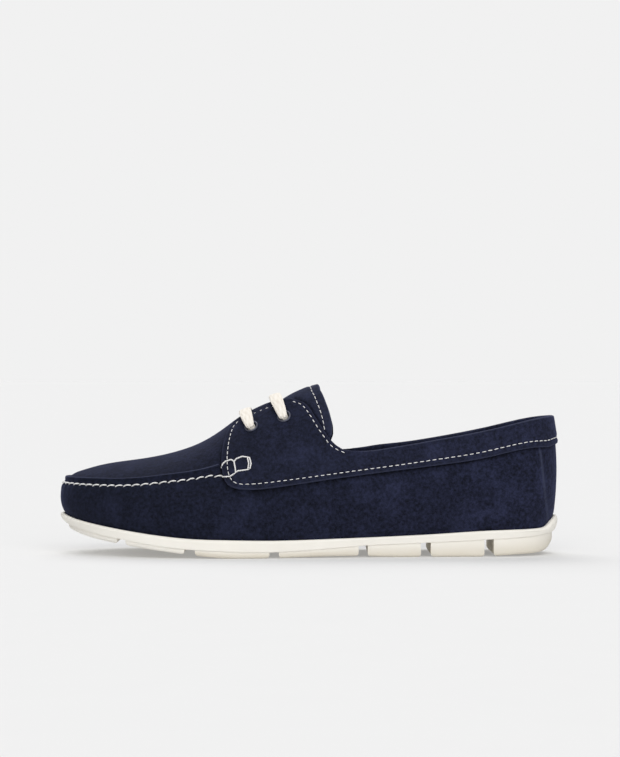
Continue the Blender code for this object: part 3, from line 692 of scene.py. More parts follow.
print("a round edge 1 mm wide, at 0, 0.5 and 1 mm:", rounded(np.array([0, 0.5, 1]), 1.0).round(2))

# %% [markdown]
# ## Writing node trees as sums
#
# A material is a small program made of nodes. Wiring them one by one hides what they work out, so
# `Value` wraps a node's output: adding, multiplying or raising two values adds the Math node for
# it, and `Tree.add` makes any other node from its type, its settings and its sockets. Geometry
# Nodes trees have the same kinds of sockets, so the same two classes build them as well. `Finish`
# is the tree of a new material, with its shader node and the piece's own coordinates at hand.

# %% Classes for node trees
class Value:
    """One output of a node, which can be used in sums."""

    def __init__(self, tree, socket):
        self.tree, self.socket = tree, socket

    def math(self, operation, first, second):
        return self.tree.add("ShaderNodeMath", {"operation": operation}, {0: first, 1: second})

    def __add__(self, other):
        return self.math("ADD", self, other)

    def __sub__(self, other):
        return self.math("SUBTRACT", self, other)

    def __rsub__(self, other):
        return self.math("SUBTRACT", other, self)

    def __mul__(self, other):
        return self.math("MULTIPLY", self, other)

    def __pow__(self, other):
        return self.math("POWER", self, other)

    __radd__, __rmul__ = __add__, __mul__

    def __neg__(self):
        return self * -1.0

    def clamped(self):
        return self.tree.add("ShaderNodeClamp", {}, {0: self})


class Tree:
    """Adds nodes to a shader or geometry tree."""

    def __init__(self, nodes):
        self.nodes = nodes

    def fill(self, node, sockets):
        """Links a value to each of these sockets, or sets a plain number there."""
        for name, value in sockets.items():
            if isinstance(value, Value):
                self.nodes.links.new(value.socket, node.inputs[name])
            else:
                node.inputs[name].default_value = value

    def add(self, kind, settings=None, sockets=None, output=0):
        node = self.nodes.nodes.new(kind)
        for name, setting in (settings or {}).items():
            setattr(node, name, setting)
        self.fill(node, sockets or {})
        return Value(self, node.outputs[output] if len(node.outputs) else None)


class Finish(Tree):
    """A new material: its tree, its shader node, and the object's own coordinates."""

    def __init__(self, name):
        self.material = bpy.data.materials.new(name)
        self.material.use_nodes = True
        super().__init__(self.material.node_tree)
        self.shader = self.nodes.nodes["Principled BSDF"]
        self.where = self.add("ShaderNodeTexCoord", output="Object")

    def noise(self, scale, detail, roughness=0.55):
        sockets = {"Vector": self.where, "Scale": scale, "Detail": detail, "Roughness": roughness}
        return self.add("ShaderNodeTexNoise", {}, sockets)

    def mark(self):
        """The marks that mesh_piece stored."""
        return self.add("ShaderNodeAttribute", {"attribute_name": "mark"}, output="Fac")

    def blend(self, factor, first, second):
        """A colour between two colours."""
        sockets = {"Factor": factor, 6: first, 7: second}
        return self.add("ShaderNodeMix", {"data_type": "RGBA"}, sockets, 2)

    def bump(self, height, strength, distance, under=None):
        sockets = {"Height": height, "Strength": strength, "Distance": distance}
        if under:
            sockets["Normal"] = under
        return self.add("ShaderNodeBump", {}, sockets)

    def made(self, **sockets):
        """The material, once these shader sockets are filled, named with _ for a space."""
        self.fill(self.shader, {name.replace("_", " "): value for name, value in sockets.items()})
        return self.material


def linear(red, green, blue):
    """A colour as a screen gives it, from 0 to 255, as light."""
    shares = [v / 255 for v in (red, green, blue)]
    return (*(v / 12.92 if v < 0.04045 else ((v + 0.055) / 1.055) ** 2.4 for v in shares), 1.0)


print("half grey as light:", round(linear(128, 128, 128)[0], 3))

# %% [markdown]
# ## Suede
#
# Suede is the flesh side of the leather, brushed up into a nap of fine fibres. It has no gloss.
# What the eye reads as suede is three things: a soft glow where the nap is seen edge on, patches a
# centimetre or so wide where a hand has brushed it another way, and a mottle of tufts a millimetre
# across. The glow is the shader's sheen; the patches and tufts are noises of those sizes in the
# colour and in the bump. Towards the heel the suede is painted paler, as painted light, because
# more light falls on the heel. Raw cut edges are paler too, partly from their cut colour and partly
# as a painted highlight where they catch the light, so a positive `mark` lightens them, and a
# negative one is painted shadow where one piece lies on another.

# %% The suede finish
PATCH_SCALE, TUFT_SCALE, FIBRE_SCALE = 70.0, 520.0, 3600.0
# The tones between the tufts and on them, at the toe and at the heel; the heel's are painted paler, as
# painted light, because more light falls on the heel.
SUEDE_TOE = linear(8, 11, 19), linear(30, 34, 52)
SUEDE_HEEL = linear(10, 12, 21), linear(47, 51, 77)
# The pale of raw edges, partly their cut colour and partly a painted highlight; the painted shadow where one
# piece lies on another; the sheen's tint.
SUEDE_RAW_AND_HIGHLIGHT, SUEDE_SHADOW, SUEDE_GLOW = linear(62, 66, 86), linear(2, 2, 5), (0.32, 0.37, 0.82, 1.0)
# The painted paler light towards the heel starts this far ahead of the middle and is full 1 /
# HEEL_LIGHT_SLOPE behind that.
HEEL_LIGHT_START, HEEL_LIGHT_SLOPE = 0.145, 3.4


def suede_finish():
    nap = Finish("suede_nap")
    patches = nap.noise(PATCH_SCALE, 4.0, 0.6)
    tufts = nap.noise(TUFT_SCALE, 4.0, 0.65)
    fibres = nap.noise(FIBRE_SCALE, 2.0, 0.6)
    lifted = (patches * 3.2 - 1.55).clamped()
    shade = (tufts * 1.8 + fibres * 1.2 + lifted * 0.5 - 1.15).clamped()
    along = nap.add("ShaderNodeSeparateXYZ", {}, {0: nap.where})
    # Painted light: the suede is painted paler towards the heel, where more light falls.
    heel_light = ((along + HEEL_LIGHT_START) * HEEL_LIGHT_SLOPE).clamped()
    colour = nap.blend(heel_light, nap.blend(shade, *SUEDE_TOE), nap.blend(shade, *SUEDE_HEEL))
    mark = nap.mark()
    colour = nap.blend((-mark).clamped(), colour, SUEDE_SHADOW)
    relief = nap.bump(tufts, 0.5, 0.0003, nap.bump(patches, 0.25, 0.0012))
    # Positive marks paint the pale raw tone: partly the raw edges' own colour, partly a painted highlight.
    return nap.made(
        Base_Color=nap.blend((mark * (0.55 + fibres * 0.7)).clamped(), colour, SUEDE_RAW_AND_HIGHLIGHT),
        Roughness=0.86 + tufts * 0.2,
        Normal=nap.bump(fibres, 0.55, 0.00012, relief),
        Specular_IOR_Level=0.12,
        Sheen_Weight=0.12,
        Sheen_Roughness=0.40,
        Sheen_Tint=SUEDE_GLOW,
    )


suede = suede_finish()
print("suede of", len(suede.node_tree.nodes), "nodes")

# %% [markdown]
# ## Rubber, lining, cotton, thread and lacquered metal
#
# The sole is moulded in one go from matt cream rubber: the mould's fine spark texture, and a
# slightly warmer, darker tone on the pads that touch the ground. The lining is thin smooth
# leather with a fine pebble. Cotton and thread get their ribs from geometry and the fuzz of their
# fibres from noise; the lace is also painted darker between its ribs, as painted shade. The
# eyelets are lacquered to match the suede, and the lacquer wears towards bare metal where the
# lace rubs; that paler metal on the rolled rim's top is partly a painted highlight.

# %% Rubber and lining
CLOUD_SCALE, SPARK_SCALE, PEBBLE_SCALE = 45.0, 2600.0, 1100.0


def rubber_finish():
    rubber = Finish("moulded_rubber")
    cloud, spark = rubber.noise(CLOUD_SCALE, 3.0), rubber.noise(SPARK_SCALE, 3.0, 0.6)
    base_tone = rubber.blend((cloud * 1.4 - 0.3).clamped(), linear(240, 236, 227), linear(247, 244, 237))
    # The pads, by their mark, are blended towards a warmer, darker tone.
    pad_tone = (rubber.mark() * (0.55 + cloud * 0.5) + spark * 0.08).clamped()
    return rubber.made(
        Base_Color=rubber.blend(pad_tone, base_tone, linear(216, 209, 194)),
        Roughness=0.5 + cloud * 0.2,
        Normal=rubber.bump(spark, 0.25, 0.0001),
        Specular_IOR_Level=0.35,
    )


def lining_finish():
    leather = Finish("lining_leather")
    cells = {"Vector": leather.where, "Scale": PEBBLE_SCALE}
    pebble = leather.add("ShaderNodeTexVoronoi", {"feature": "DISTANCE_TO_EDGE"}, cells)
    relief = (pebble * 4.0).clamped()
    cloud = leather.noise(PATCH_SCALE, 3.0)
    colour = leather.blend(cloud, linear(26, 30, 44), linear(44, 48, 66))
    return leather.made(
        Base_Color=leather.blend(relief, linear(20, 23, 34), colour),
        Roughness=0.62 - cloud * 0.18,
        Normal=leather.bump(relief, 0.35, 0.00008),
        Specular_IOR_Level=0.4,
    )


rubber, lining = rubber_finish(), lining_finish()
print("made:", rubber.name, lining.name)

# %% Cotton, thread and lacquer
TONE_SCALE, COTTON_SCALE, THREAD_SCALE, WEAR_SCALE = 240.0, 4200.0, 5200.0, 900.0


def yarn_finish(name, shadow, bright, grain, fuzz):
    """Cotton or thread: darker between the fibres, brighter on them, and darker by the mark, which on the
    lace is painted shade between its ribs.
    """
    yarn = Finish(name)
    fibres, tone = yarn.noise(grain, 3.0, 0.65), yarn.noise(TONE_SCALE, 2.0)
    # The mark darkens it: painted shade between the lace's ribs.
    shade = (fibres * 0.9 + tone * 0.5 - 0.2 - yarn.mark() * 0.9).clamped()
    return yarn.made(
        Base_Color=yarn.blend(shade, shadow, bright),
        Roughness=0.8 + fibres * 0.2,
        Normal=yarn.bump(fibres, 0.5, 0.0001),
        Specular_IOR_Level=0.2,
        Sheen_Weight=fuzz,
        Sheen_Roughness=0.5,
    )


def lacquer_finish():
    lacquer = Finish("lacquered_metal")
    wear = lacquer.noise(WEAR_SCALE, 4.0, 0.7)
    # Paler and more metallic by the mark on the rolled rim: partly worn lacquer, partly a painted highlight
    # on the rim's top.
    bare_and_highlight = (lacquer.mark() * wear * 1.6).clamped()
    return lacquer.made(
        Base_Color=lacquer.blend(bare_and_highlight, linear(46, 49, 64), linear(104, 106, 120)),
        Roughness=0.42 - bare_and_highlight * 0.12,
        Metallic=bare_and_highlight * 0.8,
        Normal=lacquer.bump(wear, 0.15, 0.00004),
    )


cotton = yarn_finish("cotton_braid", linear(226, 218, 206), linear(254, 251, 245), COTTON_SCALE, 0.25)
thread = yarn_finish("waxed_thread", linear(205, 203, 202), linear(248, 247, 246), THREAD_SCALE, 0.1)
lacquer = lacquer_finish()
print("made:", cotton.name, thread.name, lacquer.name)

# %% [markdown]
# ## Floor and light
#
# A catalogue table: a pale floor that runs out of sight, a big even sky of light, and two wide soft
# lamps high up, one in front of the shoe and one behind it. The even light keeps the dark suede
# readable, and the lamps give the shapes their lighter tops and the sole its contact shadow. The
# camera sees the sky at the same tone as the lit floor, so no horizon shows. From below the floor
# is clear, so that the tread can be looked at.

# %% The floor
# Half the floor's width in metres, its tone, and the glow that evens it out.
FLOOR_HALF = 85.0
FLOOR_TONE, FLOOR_GLOW = 0.56, 0.225
WHITE = (1.0, 1.0, 1.0, 1.0)


def lay_floor():
    corners = [(x * FLOOR_HALF, y * FLOOR_HALF, 0) for x, y in ((-1, -1), (1, -1), (1, 1), (-1, 1))]
    mesh = bpy.data.meshes.new("floor")
    mesh.from_pydata(corners, [], [(0, 1, 2, 3)])
    paint = Finish("floor_paint")
    tone = (FLOOR_TONE, FLOOR_TONE, FLOOR_TONE, 1.0)
    paint.made(
        Base_Color=paint.blend(paint.noise(30.0, 2.0) * 0.02, tone, WHITE),
        Roughness=1.0,
        Specular_IOR_Level=0.0,
        Emission_Strength=FLOOR_GLOW,
        Emission_Color=WHITE,
    )
    below = paint.add("ShaderNodeNewGeometry", output="Backfacing")
    clear = paint.add("ShaderNodeBsdfTransparent")
    either = {0: below, 1: Value(paint, paint.shader.outputs[0]), 2: clear}
    surface = paint.add("ShaderNodeMixShader", {}, either)
    paint.fill(paint.nodes.nodes["Material Output"], {"Surface": surface})
    mesh.materials.append(paint.material)
    in_scene("floor", mesh)


lay_floor()
print("floor of", 2 * FLOOR_HALF, "m")

# %% The sky and the two lamps
SKY_SEEN = linear(241, 241, 241)
SKY_LOW, SKY_HIGH, SKY_FALL = 0.11, 1.5, 3.5
# How strong each lamp is, how wide it looks, and its turn about X and then about Z, in degrees.
LAMPS = {"front": (1.95, 60.0, 64.0, 8.0), "behind": (1.55, 45.0, 42.0, 190.0)}


def hang_lights():
    world = bpy.data.worlds.new("studio")
    bpy.context.scene.world = world
    world.use_nodes = True
    world.node_tree.nodes.clear()
    sky = Tree(world.node_tree)
    where = sky.add("ShaderNodeTexCoord", output="Generated")
    height = sky.add("ShaderNodeSeparateXYZ", {}, {0: where}, "Z").clamped()
    glow = sky.add("ShaderNodeBackground", {}, {1: height**SKY_FALL * SKY_HIGH + SKY_LOW})
    seen = sky.add("ShaderNodeBackground", {}, {0: SKY_SEEN, 1: 1.0})
    by_camera = sky.add("ShaderNodeLightPath", output="Is Camera Ray")
    both = sky.add("ShaderNodeMixShader", {}, {0: by_camera, 1: glow, 2: seen})
    sky.add("ShaderNodeOutputWorld", {}, {0: both})
    for name, (strength, width, tilt, turn) in LAMPS.items():
        lamp = in_scene(f"lamp_{name}", bpy.data.lights.new(f"lamp_{name}", "SUN"))
        lamp.data.energy, lamp.data.angle = strength, math.radians(width)
        lamp.rotation_euler = (math.radians(tilt), 0, math.radians(turn))


hang_lights()
bpy.context.scene.view_settings.view_transform = "Standard"
bpy.context.scene.view_settings.look = "None"
print("lamps:", list(LAMPS))

# %% [markdown]
# ## The sole unit
#
# A driving sole is one moulding: a shallow cup that the upper sits in, with a rim round it, and
# seven flat pads under it with grooves right through between them, so that it rolls with the
# foot. The cup is a closed shell made of rings that follow the rim. Each pad is a shell of its
# own whose lower corners are turned with a 2 mm radius, and fine wavy cuts run across its tread.
# A Boolean joins the pads to the cup, because one skin bakes and prints better than eight.

# %% The cup
# Sections are closer together where the shoe bends most: start, end and how many.
SOLE_STRETCHES = ((0.0, 0.25, 70), (0.25, 0.8, 90), (0.8, 1.0, 60))
# The lip's rings, how far inside the rim and how far below its top: over it, and round the outside.
LIP_TOP = ((LIP_WALL, 0.7), (LIP_WALL - 0.2, 0.25), (LIP_WALL - 0.7, 0), (0.95, 0.02))
LIP_CORNER = ((0.5, 0.22), (0.15, 0.6), (0.0, 1.2))
# The rings down the cup's side, as shares of the way, and the two round its lower corner.
CUP_SIDE = (0.3, 0.5, 0.7, 0.86, 0.94)
CUP_CORNER = ((0.14, 0.14), (0.5, 0.0))
# How full the side is, as a power, and how much more at the heel and the toe, whose ends begin and
# are full so far from the middle. The heel's lip is also this much wider and deeper round.
BELLY, HEEL_BELLY, TOE_BELLY = 1.3, 1.8, 1.0
HEEL_END, TOE_END = (132, 143), (124, 140)
HEEL_LIP_OUT, HEEL_LIP_DOWN = 0.7, 1.1
FLOOR_COLUMNS = 12


def sections(stretches, *extra):
    """Section places along the shoe: so many in each stretch, and the heel."""
    runs = [np.linspace(start, end, count, endpoint=False) for start, end, count in stretches]
    return np.sort(np.concatenate([*runs, [*extra, 1.0]]))


def rim_ring(arounds, side, inset, height):
    return raised(rim(arounds, side, inset)[0], height)


def on_floor(arounds, side, inset, height):
    """Points over the cup's floor, this far inside the rim."""
    flat, _ = rim(arounds, side, inset)
    return raised(flat, cup_floor(flat[..., 0]) + height)


def across(near, far, count):
    """A grid from one side's points straight across to the other's."""
    share = np.linspace(0, 1, count)[None, :, None]
    return near[:, None] * (1 - share) + far[:, None] * share


def cup_grids():
    """The cup's two sides, its floor and its underneath."""
    arounds = sections(SOLE_STRETCHES)
    x = station(arounds)
    lip, roof, tuck = lip_top(x), groove_roof(x), rim_undercut(x)
    heel, toe = ease(x, *HEEL_END), ease(-x, *TOE_END)
    belly = BELLY + HEEL_BELLY * heel + TOE_BELLY * toe
    out, down = 1 + HEEL_LIP_OUT * heel, 1 + HEEL_LIP_DOWN * heel
    rings = [(0 * x + inset, lip - below) for inset, below in LIP_TOP]
    rings += [(inset * out, lip - below * down) for inset, below in LIP_CORNER]
    rings += [(tuck * share**belly, lip - 0.1 + (roof - lip) * share) for share in CUP_SIDE]
    rings += [(tuck + inset, roof + above) for inset, above in CUP_CORNER]
    near, far = (
        np.stack([on_floor(arounds, side, LIP_WALL, 0.0), *(rim_ring(arounds, side, *r) for r in rings)], 1)
        for side in SIDES
    )
    return [near, far, *(across(near[:, k], far[:, k], FLOOR_COLUMNS) for k in (0, -1))]


cup = cup_grids()
print("rings round the cup:", cup[0].shape[1], "of", cup[0].shape[0], "points a side")

# %% The tread pads
PAD_CORNER, PAD_STEP, PAD_ROOT = 2.0, 0.9, 0.8
PAD_POINTS, PAD_SPACING, TREAD_COLUMNS = 10, 0.6, 70
END_PAD_POINTS = 56
TREAD_CUT = {"spacing": 4.2, "depth": 0.55, "half": 0.42, "wave": 1.1, "length": 15.0}


def cut_tread(grid):
    """Sinks fine wavy cuts into the tread, away from the pad's border."""
    cut = TREAD_CUT
    phase = (grid[..., 0] + cut["wave"] * np.sin(2 * np.pi * grid[..., 1] / cut["length"])) / cut["spacing"]
    groove = bump_at((phase - np.round(phase)) * cut["spacing"], cut["half"])
    counts = [np.arange(count) for count in grid.shape[:2]]
    rows, columns = (ease(np.minimum(count, count[::-1]), 1, 4) for count in counts)
    grid[..., 2] += cut["depth"] * groove * rows[:, None] * columns
    return grid


def pad_radius(x):
    return np.minimum(PAD_CORNER, 0.75 * (groove_roof(x) - pad_bottom(x)))


def pad_ring(arounds, side, rise, inset):
    """One ring of a pad: inside the cup when rise is None, else so far round its lower corner."""
    x = station(arounds)
    flat, _ = rim(arounds, side, rim_undercut(x) + PAD_STEP + pad_radius(x) * inset)
    x = flat[:, 0]
    height = groove_roof(x) + PAD_ROOT if rise is None else pad_bottom(x) + pad_radius(x) * rise
    return raised(flat, height)


def pad_grids(start, end):
    """One tread pad, with its lower corners rounded."""
    toe_end, heel_end = start <= TOE_X, end >= HEEL_X
    count = END_PAD_POINTS if toe_end or heel_end else PAD_POINTS + int((end - start) / PAD_SPACING)
    rings = []
    turns = [(None, 0.0)] + [(1 - math.sin(t), 1 - math.cos(t)) for t in np.linspace(0, np.pi / 2, 7)]
    for rise, inset in turns:
        low = TOE_X if toe_end else start + inset * PAD_CORNER
        high = HEEL_X if heel_end else end - inset * PAD_CORNER
        arounds = np.linspace(around_at(low), around_at(high), count)
        rings.append([pad_ring(arounds, side, rise, inset) for side in SIDES])
    near, far = (np.stack([ring[k] for ring in rings], axis=1) for k in (0, 1))
    root, tread = (across(near[:, k], far[:, k], TREAD_COLUMNS) for k in (0, -1))
    ends = [across(near[row], far[row], TREAD_COLUMNS).swapaxes(0, 1) for row in (0, -1)]
    return [near, far, root, cut_tread(tread), *ends]


starts = [TOE_X, *(GROOVES["x"] + GROOVES["width"] / 2)]
ends = [*(GROOVES["x"] - GROOVES["width"] / 2), HEEL_X]
pads = sum((pad_grids(start, end) for start, end in zip(starts, ends)), [])
sole = mesh_piece("sole_unit", cup, [0] * len(cup))
combine(sole, mesh_piece("tread_pads", pads, [1] * len(pads)), "UNION")
settle(sole, "cream_rubber", rubber, "sole")

# %% [markdown]
# ## Sewing with Geometry Nodes
#
# A stitch is the same small loop of thread repeated along a line, which is what Geometry Nodes
# are for. The tree takes a line, spreads so many points along it, and puts a curved bit of thread
# on each. Each bit is turned so that it runs along the line and stands out from the leather,
# which the line's own `out` attribute tells. A little seeded jitter keeps it from looking printed.

# %% What both trees share
def new_group(name, floats, integers):
    """A geometry tree with a line and a finish coming in, and these named numbers."""
    group = bpy.data.node_groups.new(name, "GeometryNodeTree")
    group.interface.new_socket(name="Geometry", in_out="OUTPUT", socket_type="NodeSocketGeometry")
    kinds = [("Geometry", "Geometry", None), *((label, "Float", value) for label, value in floats.items())]
    kinds += [*((label, "Int", value) for label, value in integers.items()), ("Finish", "Material", None)]
    for label, kind, value in kinds:
        socket = group.interface.new_socket(name=label, in_out="INPUT", socket_type=f"NodeSocket{kind}")
        if value is not None:
            socket.default_value = value
    tree = Tree(group)
    start = tree.add("NodeGroupInput").socket.node
    return group, tree, lambda label: Value(tree, start.outputs[label])


def thread_body(tree, given, line, measure, sides, flat):
    """Makes a line a thread that twists along this measure, with an oval section and closed ends."""
    along = tree.add("GeometryNodeSplineParameter", output=measure)
    turned = tree.add("GeometryNodeSetCurveTilt", {}, {"Curve": line, "Tilt": along * given("Twist")})
    size = {"Resolution": sides, "Radius": given("Radius")}
    ring = tree.add("GeometryNodeCurvePrimitiveCircle", {"mode": "RADIUS"}, size)
    oval = tree.add("GeometryNodeTransform", {}, {"Geometry": ring, "Scale": (1.0, flat, 1.0)})
    body = {"Curve": turned, "Profile Curve": oval, "Fill Caps": True}
    return tree.add("GeometryNodeCurveToMesh", {}, body)


def end_group(tree, geometry, finish):
    """Real geometry, smooth faces, the finish, and out."""
    real = tree.add("GeometryNodeRealizeInstances", {}, {"Geometry": geometry})
    even = tree.add("GeometryNodeSetShadeSmooth", {}, {"Geometry": real})
    done = tree.add("GeometryNodeSetMaterial", {}, {"Geometry": even, "Material": finish})
    tree.add("NodeGroupOutput", {}, {"Geometry": done})


# %% The stitch tree
STITCH_SIZES = {"Length": 2.4, "Radius": 0.35, "Slant": 0.0, "Rise": 0.5, "Dip": 0.4}
STITCH_TURNS = {"Twist": 0.0, "Jitter": 0.05}
STITCH_POINTS, STITCH_SIDES, STITCH_FLAT = 9, 8, 0.78


def build_stitch_tree():
    counts = {"Count": 10, "Seed": 3}
    group, tree, given = new_group("stitch_row", {**STITCH_SIZES, **STITCH_TURNS}, counts)
    line = tree.add("GeometryNodeMeshToCurve", {}, {"Mesh": given("Geometry")})
    spaced = tree.add("GeometryNodeResampleCurve", {}, {"Curve": line, "Count": given("Count")})

    def corner(x, y, z):
        return tree.add("ShaderNodeCombineXYZ", {}, {0: x, 1: y, 2: z})

    half, slant, dip = given("Length") * 0.5, given("Slant"), given("Dip")
    arch = {
        "Start": corner(-half, -slant, -dip),
        "Middle": corner(0.0, 0.0, given("Rise") * 2.0 + dip),
        "End": corner(half, slant, -dip),
        "Resolution": STITCH_POINTS,
    }
    bend = tree.add("GeometryNodeCurveQuadraticBezier", {}, arch)
    bit = thread_body(tree, given, bend, "Factor", STITCH_SIDES, STITCH_FLAT)

    out = tree.add("GeometryNodeInputNamedAttribute", {"data_type": "FLOAT_VECTOR"}, {"Name": "out"})
    tangent = tree.add("GeometryNodeInputTangent")
    along = tree.add("FunctionNodeAlignRotationToVector", {"axis": "X"}, {"Vector": tangent})
    upright = {"axis": "Z", "pivot_axis": "X"}
    standing = tree.add("FunctionNodeAlignRotationToVector", upright, {"Rotation": along, "Vector": out})
    swings = {2: -given("Jitter"), 3: given("Jitter"), "Seed": given("Seed")}
    swing = tree.add("FunctionNodeRandomValue", {"data_type": "FLOAT"}, swings, 1)
    spin = tree.add("FunctionNodeEulerToRotation", {}, {0: corner(0.0, 0.0, swing)})
    facing = tree.add("FunctionNodeRotateRotation", {"rotation_space": "LOCAL"}, {0: standing, 1: spin})
    placed = {"Points": spaced, "Instance": bit, "Rotation": facing, "Scale": (1.0, 1.0, 1.0)}
    end_group(tree, tree.add("GeometryNodeInstanceOnPoints", {}, placed), given("Finish"))
    return group


stitch_tree = build_stitch_tree()
print(stitch_tree.name, "has", len(stitch_tree.nodes), "nodes")

# %% The tree of a laid thread, and running a tree
CORD_FLAT = 0.72


def build_cord_tree():
    """A twisted thread laid along a line."""
    group, tree, given = new_group("laid_thread", {"Radius": 0.4, "Twist": 2.0}, {"Sides": 10})
    line = tree.add("GeometryNodeMeshToCurve", {}, {"Mesh": given("Geometry")})
    body = thread_body(tree, given, line, "Length", given("Sides"), CORD_FLAT)
    end_group(tree, body, given("Finish"))
    return group


def run_tree(name, group, lines, outs, numbers):
    """Makes a mesh from lines of points in millimetres with a tree and its named inputs."""
    mesh = bpy.data.meshes.new(name)
    edges, start = [], 0
    for line in lines:
        edges += [(start + i, start + i + 1) for i in range(len(line) - 1)]
        start += len(line)
    mesh.from_pydata((np.concatenate(lines) * MM).tolist(), edges, [])
    layer = mesh.attributes.new("out", "FLOAT_VECTOR", "POINT")
    layer.data.foreach_set("vector", np.concatenate(outs).ravel().astype(np.float32))
    piece = in_scene(name, mesh)
    change = piece.modifiers.new("nodes", "NODES")
    change.node_group = group
    for socket in group.interface.items_tree:
        if socket.name in numbers:
            change[socket.identifier] = numbers[socket.name]
    apply_modifiers(piece)
    print(f"{name}: {triangles(piece.data)} triangles")
    return piece


cord_tree = build_cord_tree()
print(cord_tree.name, "has", len(cord_tree.nodes), "nodes")

# %% [markdown]
# ## Lines to sew along
#
# A seam is drawn as places on the last, smoothed into one line, and lifted off the surface. The
# thread pulls the leather in along it, so the same line later sinks a soft groove in the piece
# that it holds.

# %% Sewing along a line
def seam(places, side, offset):
    """The seam's points and outward directions on one side."""
    around, up = places.T
    return face(around, up, side, offset), outward_normal(around, up, side)


def resampled(at, run, rows):
    """The rows of a line at other distances along it, straight between the old ones."""
    return np.stack([np.interp(at, run, values) for values in rows.T], axis=1)


def sew(name, points, outs, pitch, sizes):
    """A row of stitches along a line, a whole number of them."""
    run = run_along(points)
    count = max(2, round(run[-1] / pitch))
    half = run[-1] / count / 2
    at = np.linspace(half, run[-1] - half, 4 * count)
    numbers = {k: float(v) if k in STITCH_TURNS else float(v * MM) for k, v in sizes.items()}
    numbers.update(Count=count, Finish=thread)
    row = run_tree(name, stitch_tree, [resampled(at, run, points)], [unit(resampled(at, run, outs))], numbers)
    settle(row, "white_thread")


# %% The machine seams as places
SADDLE_SEAM = table(
    "x z",
    (-39.8, 77.6), (-42.3, 75.3), (-44.3, 70.8), (-45.3, 66.4), (-45.9, 61.0), (-46.1, 56.0),
    (-45.7, 51.0), (-44.9, 47.4), (-43.4, 44.6), (-41.0, 42.8), (-35.8, 42.0), (-30.0, 42.2),
    (-21.6, 43.0), (-4.5, 45.1), (24.0, 48.9), (52.5, 52.6), (80.0, 56.6), (98.0, 59.5),
    (121.0, 64.6), (129.0, 65.8), (138.0, 66.1),
)
REAR_SEAM = table(
    "x z",
    (-9.6, 88.6), (-6.4, 88.1), (-2.9, 86.1), (0.0, 82.6), (2.9, 78.1), (5.8, 73.5), (9.6, 68.0),
    (12.8, 64.0), (16.0, 61.7), (21.7, 59.3),
)
# Between the facing and its seam, and how far back from the facing's front the seam starts.
FACING_SEAM_INSET, FACING_SEAM_AHEAD = 4.6, 2.0
SEAM_SINK, SEAM_WIDTH = 0.32, 0.8

lower_seam = drawn(SADDLE_SEAM, 200)
behind_heel = [(around, lower_seam[-1][1]) for around in np.linspace(lower_seam[-1][0], 1.0, 40)[1:]]
lower_seam = np.append(lower_seam, behind_heel, axis=0)
facing_crests = FACING["crest"][:3] + (FACING_SEAM_AHEAD, 0.0, 0.0)
facing_seam = facing_run(facing_crests, FACING["gap"][:3] + FACING_SEAM_INSET, 40)
rear_seam = drawn(REAR_SEAM)
top_seam = np.append(facing_seam, rear_seam, axis=0)
print("places along the seams:", len(lower_seam), len(top_seam))

# %% [markdown]
# ## The upper
#
# The upper is one piece of suede drawn up round the last, and its top edge is gathered onto the
# apron by hand. That seam is what makes a moccasin: the two raw edges stand up together as a
# ridge, and below each thread hole the wall is pulled in, so it puckers between the holes. Here
# the wall, the two-edged ridge and the apron are rows of one grid. The gathers and the few soft
# creases of a shoe that has been on a foot are moves along the surface's own outward direction.

# %% Sizes of the moccasin seam and the wall
SUEDE_WALL = 0.95
UPPER_STRETCHES = ((0.0, 0.42, 210), (0.42, 0.6, 70), (0.6, 1.0, 130))
# Even rows up the wall, close rows this far below the seam, then the ridge, and even rows over it.
WALL_ROWS, APRON_ROWS = 12, 16
NEAR_SEAM = (7.5, 6.2, 5.2, 4.3, 3.6, 3.0, 2.5, 2.1, 1.7, 1.3, 0.95, 0.6, 0.3, 0.1)
# How far below the seam and over it the even rows stop.
NEAR_START, OVER_END = 8.6, 4.4
# The two raw edges that stand up along the seam: how far over it, how high, and how pale, from their raw
# colour and a painted highlight where their tops catch the light.
RIDGE = table(
    "ahead lift mark",
    (0.0, 0.0, 0.0), (-0.05, 0.7, 0.0), (-0.05, 1.35, 0.0), (0.05, 1.85, 0.0), (0.3, 2.12, 0.4),
    (0.7, 2.1, 1.9), (1.0, 1.55, 0.2), (1.15, 1.35, 0.2), (1.4, 1.6, 0.5), (1.9, 1.35, 0.4),
    (2.25, 0.95, 0.3), (2.4, 0.6, 0.0), (2.55, 0.25, 0.0), (2.95, 0.04, 0.0), (3.6, 0.0, 0.0),
)
# Where along the shoe the ridge dives under the saddle.
RIDGE_STOP = (-49.4, -47.6)
# How far below the seam the stitches run, how deep the gathers between them are, and their pitch.
STITCH_DROP = table(
    "x drop", (-145, 1.6), (-115, 2.4), (-83, 2.7), (-50, 2.9), (-41, 3.6), (-36, 5.0), (-30, 6.4)
)
GATHER = table("x deep", (-145, 0.16), (-125, 0.20), (-100, 0.20), (-70, 0.16), (-45, 0.12), (-32, 0.0))
MOC_PITCH = 5.45
# A gather fades out this far below the stitches and above them.
GATHER_BELOW, GATHER_ABOVE = 3.2, 1.2
# The roll below the stitches and the groove that they pull.
ROLL, STITCH_GROOVE = (0.30, 2.4, 1.7), (0.42, 0.0, 0.75)
stitch_drop, gather_depth = column(STITCH_DROP, "drop"), column(GATHER, "deep")
print("the ridge stands", RIDGE["lift"].max(), "mm over the seam and is", RIDGE["ahead"].max(), "mm wide")

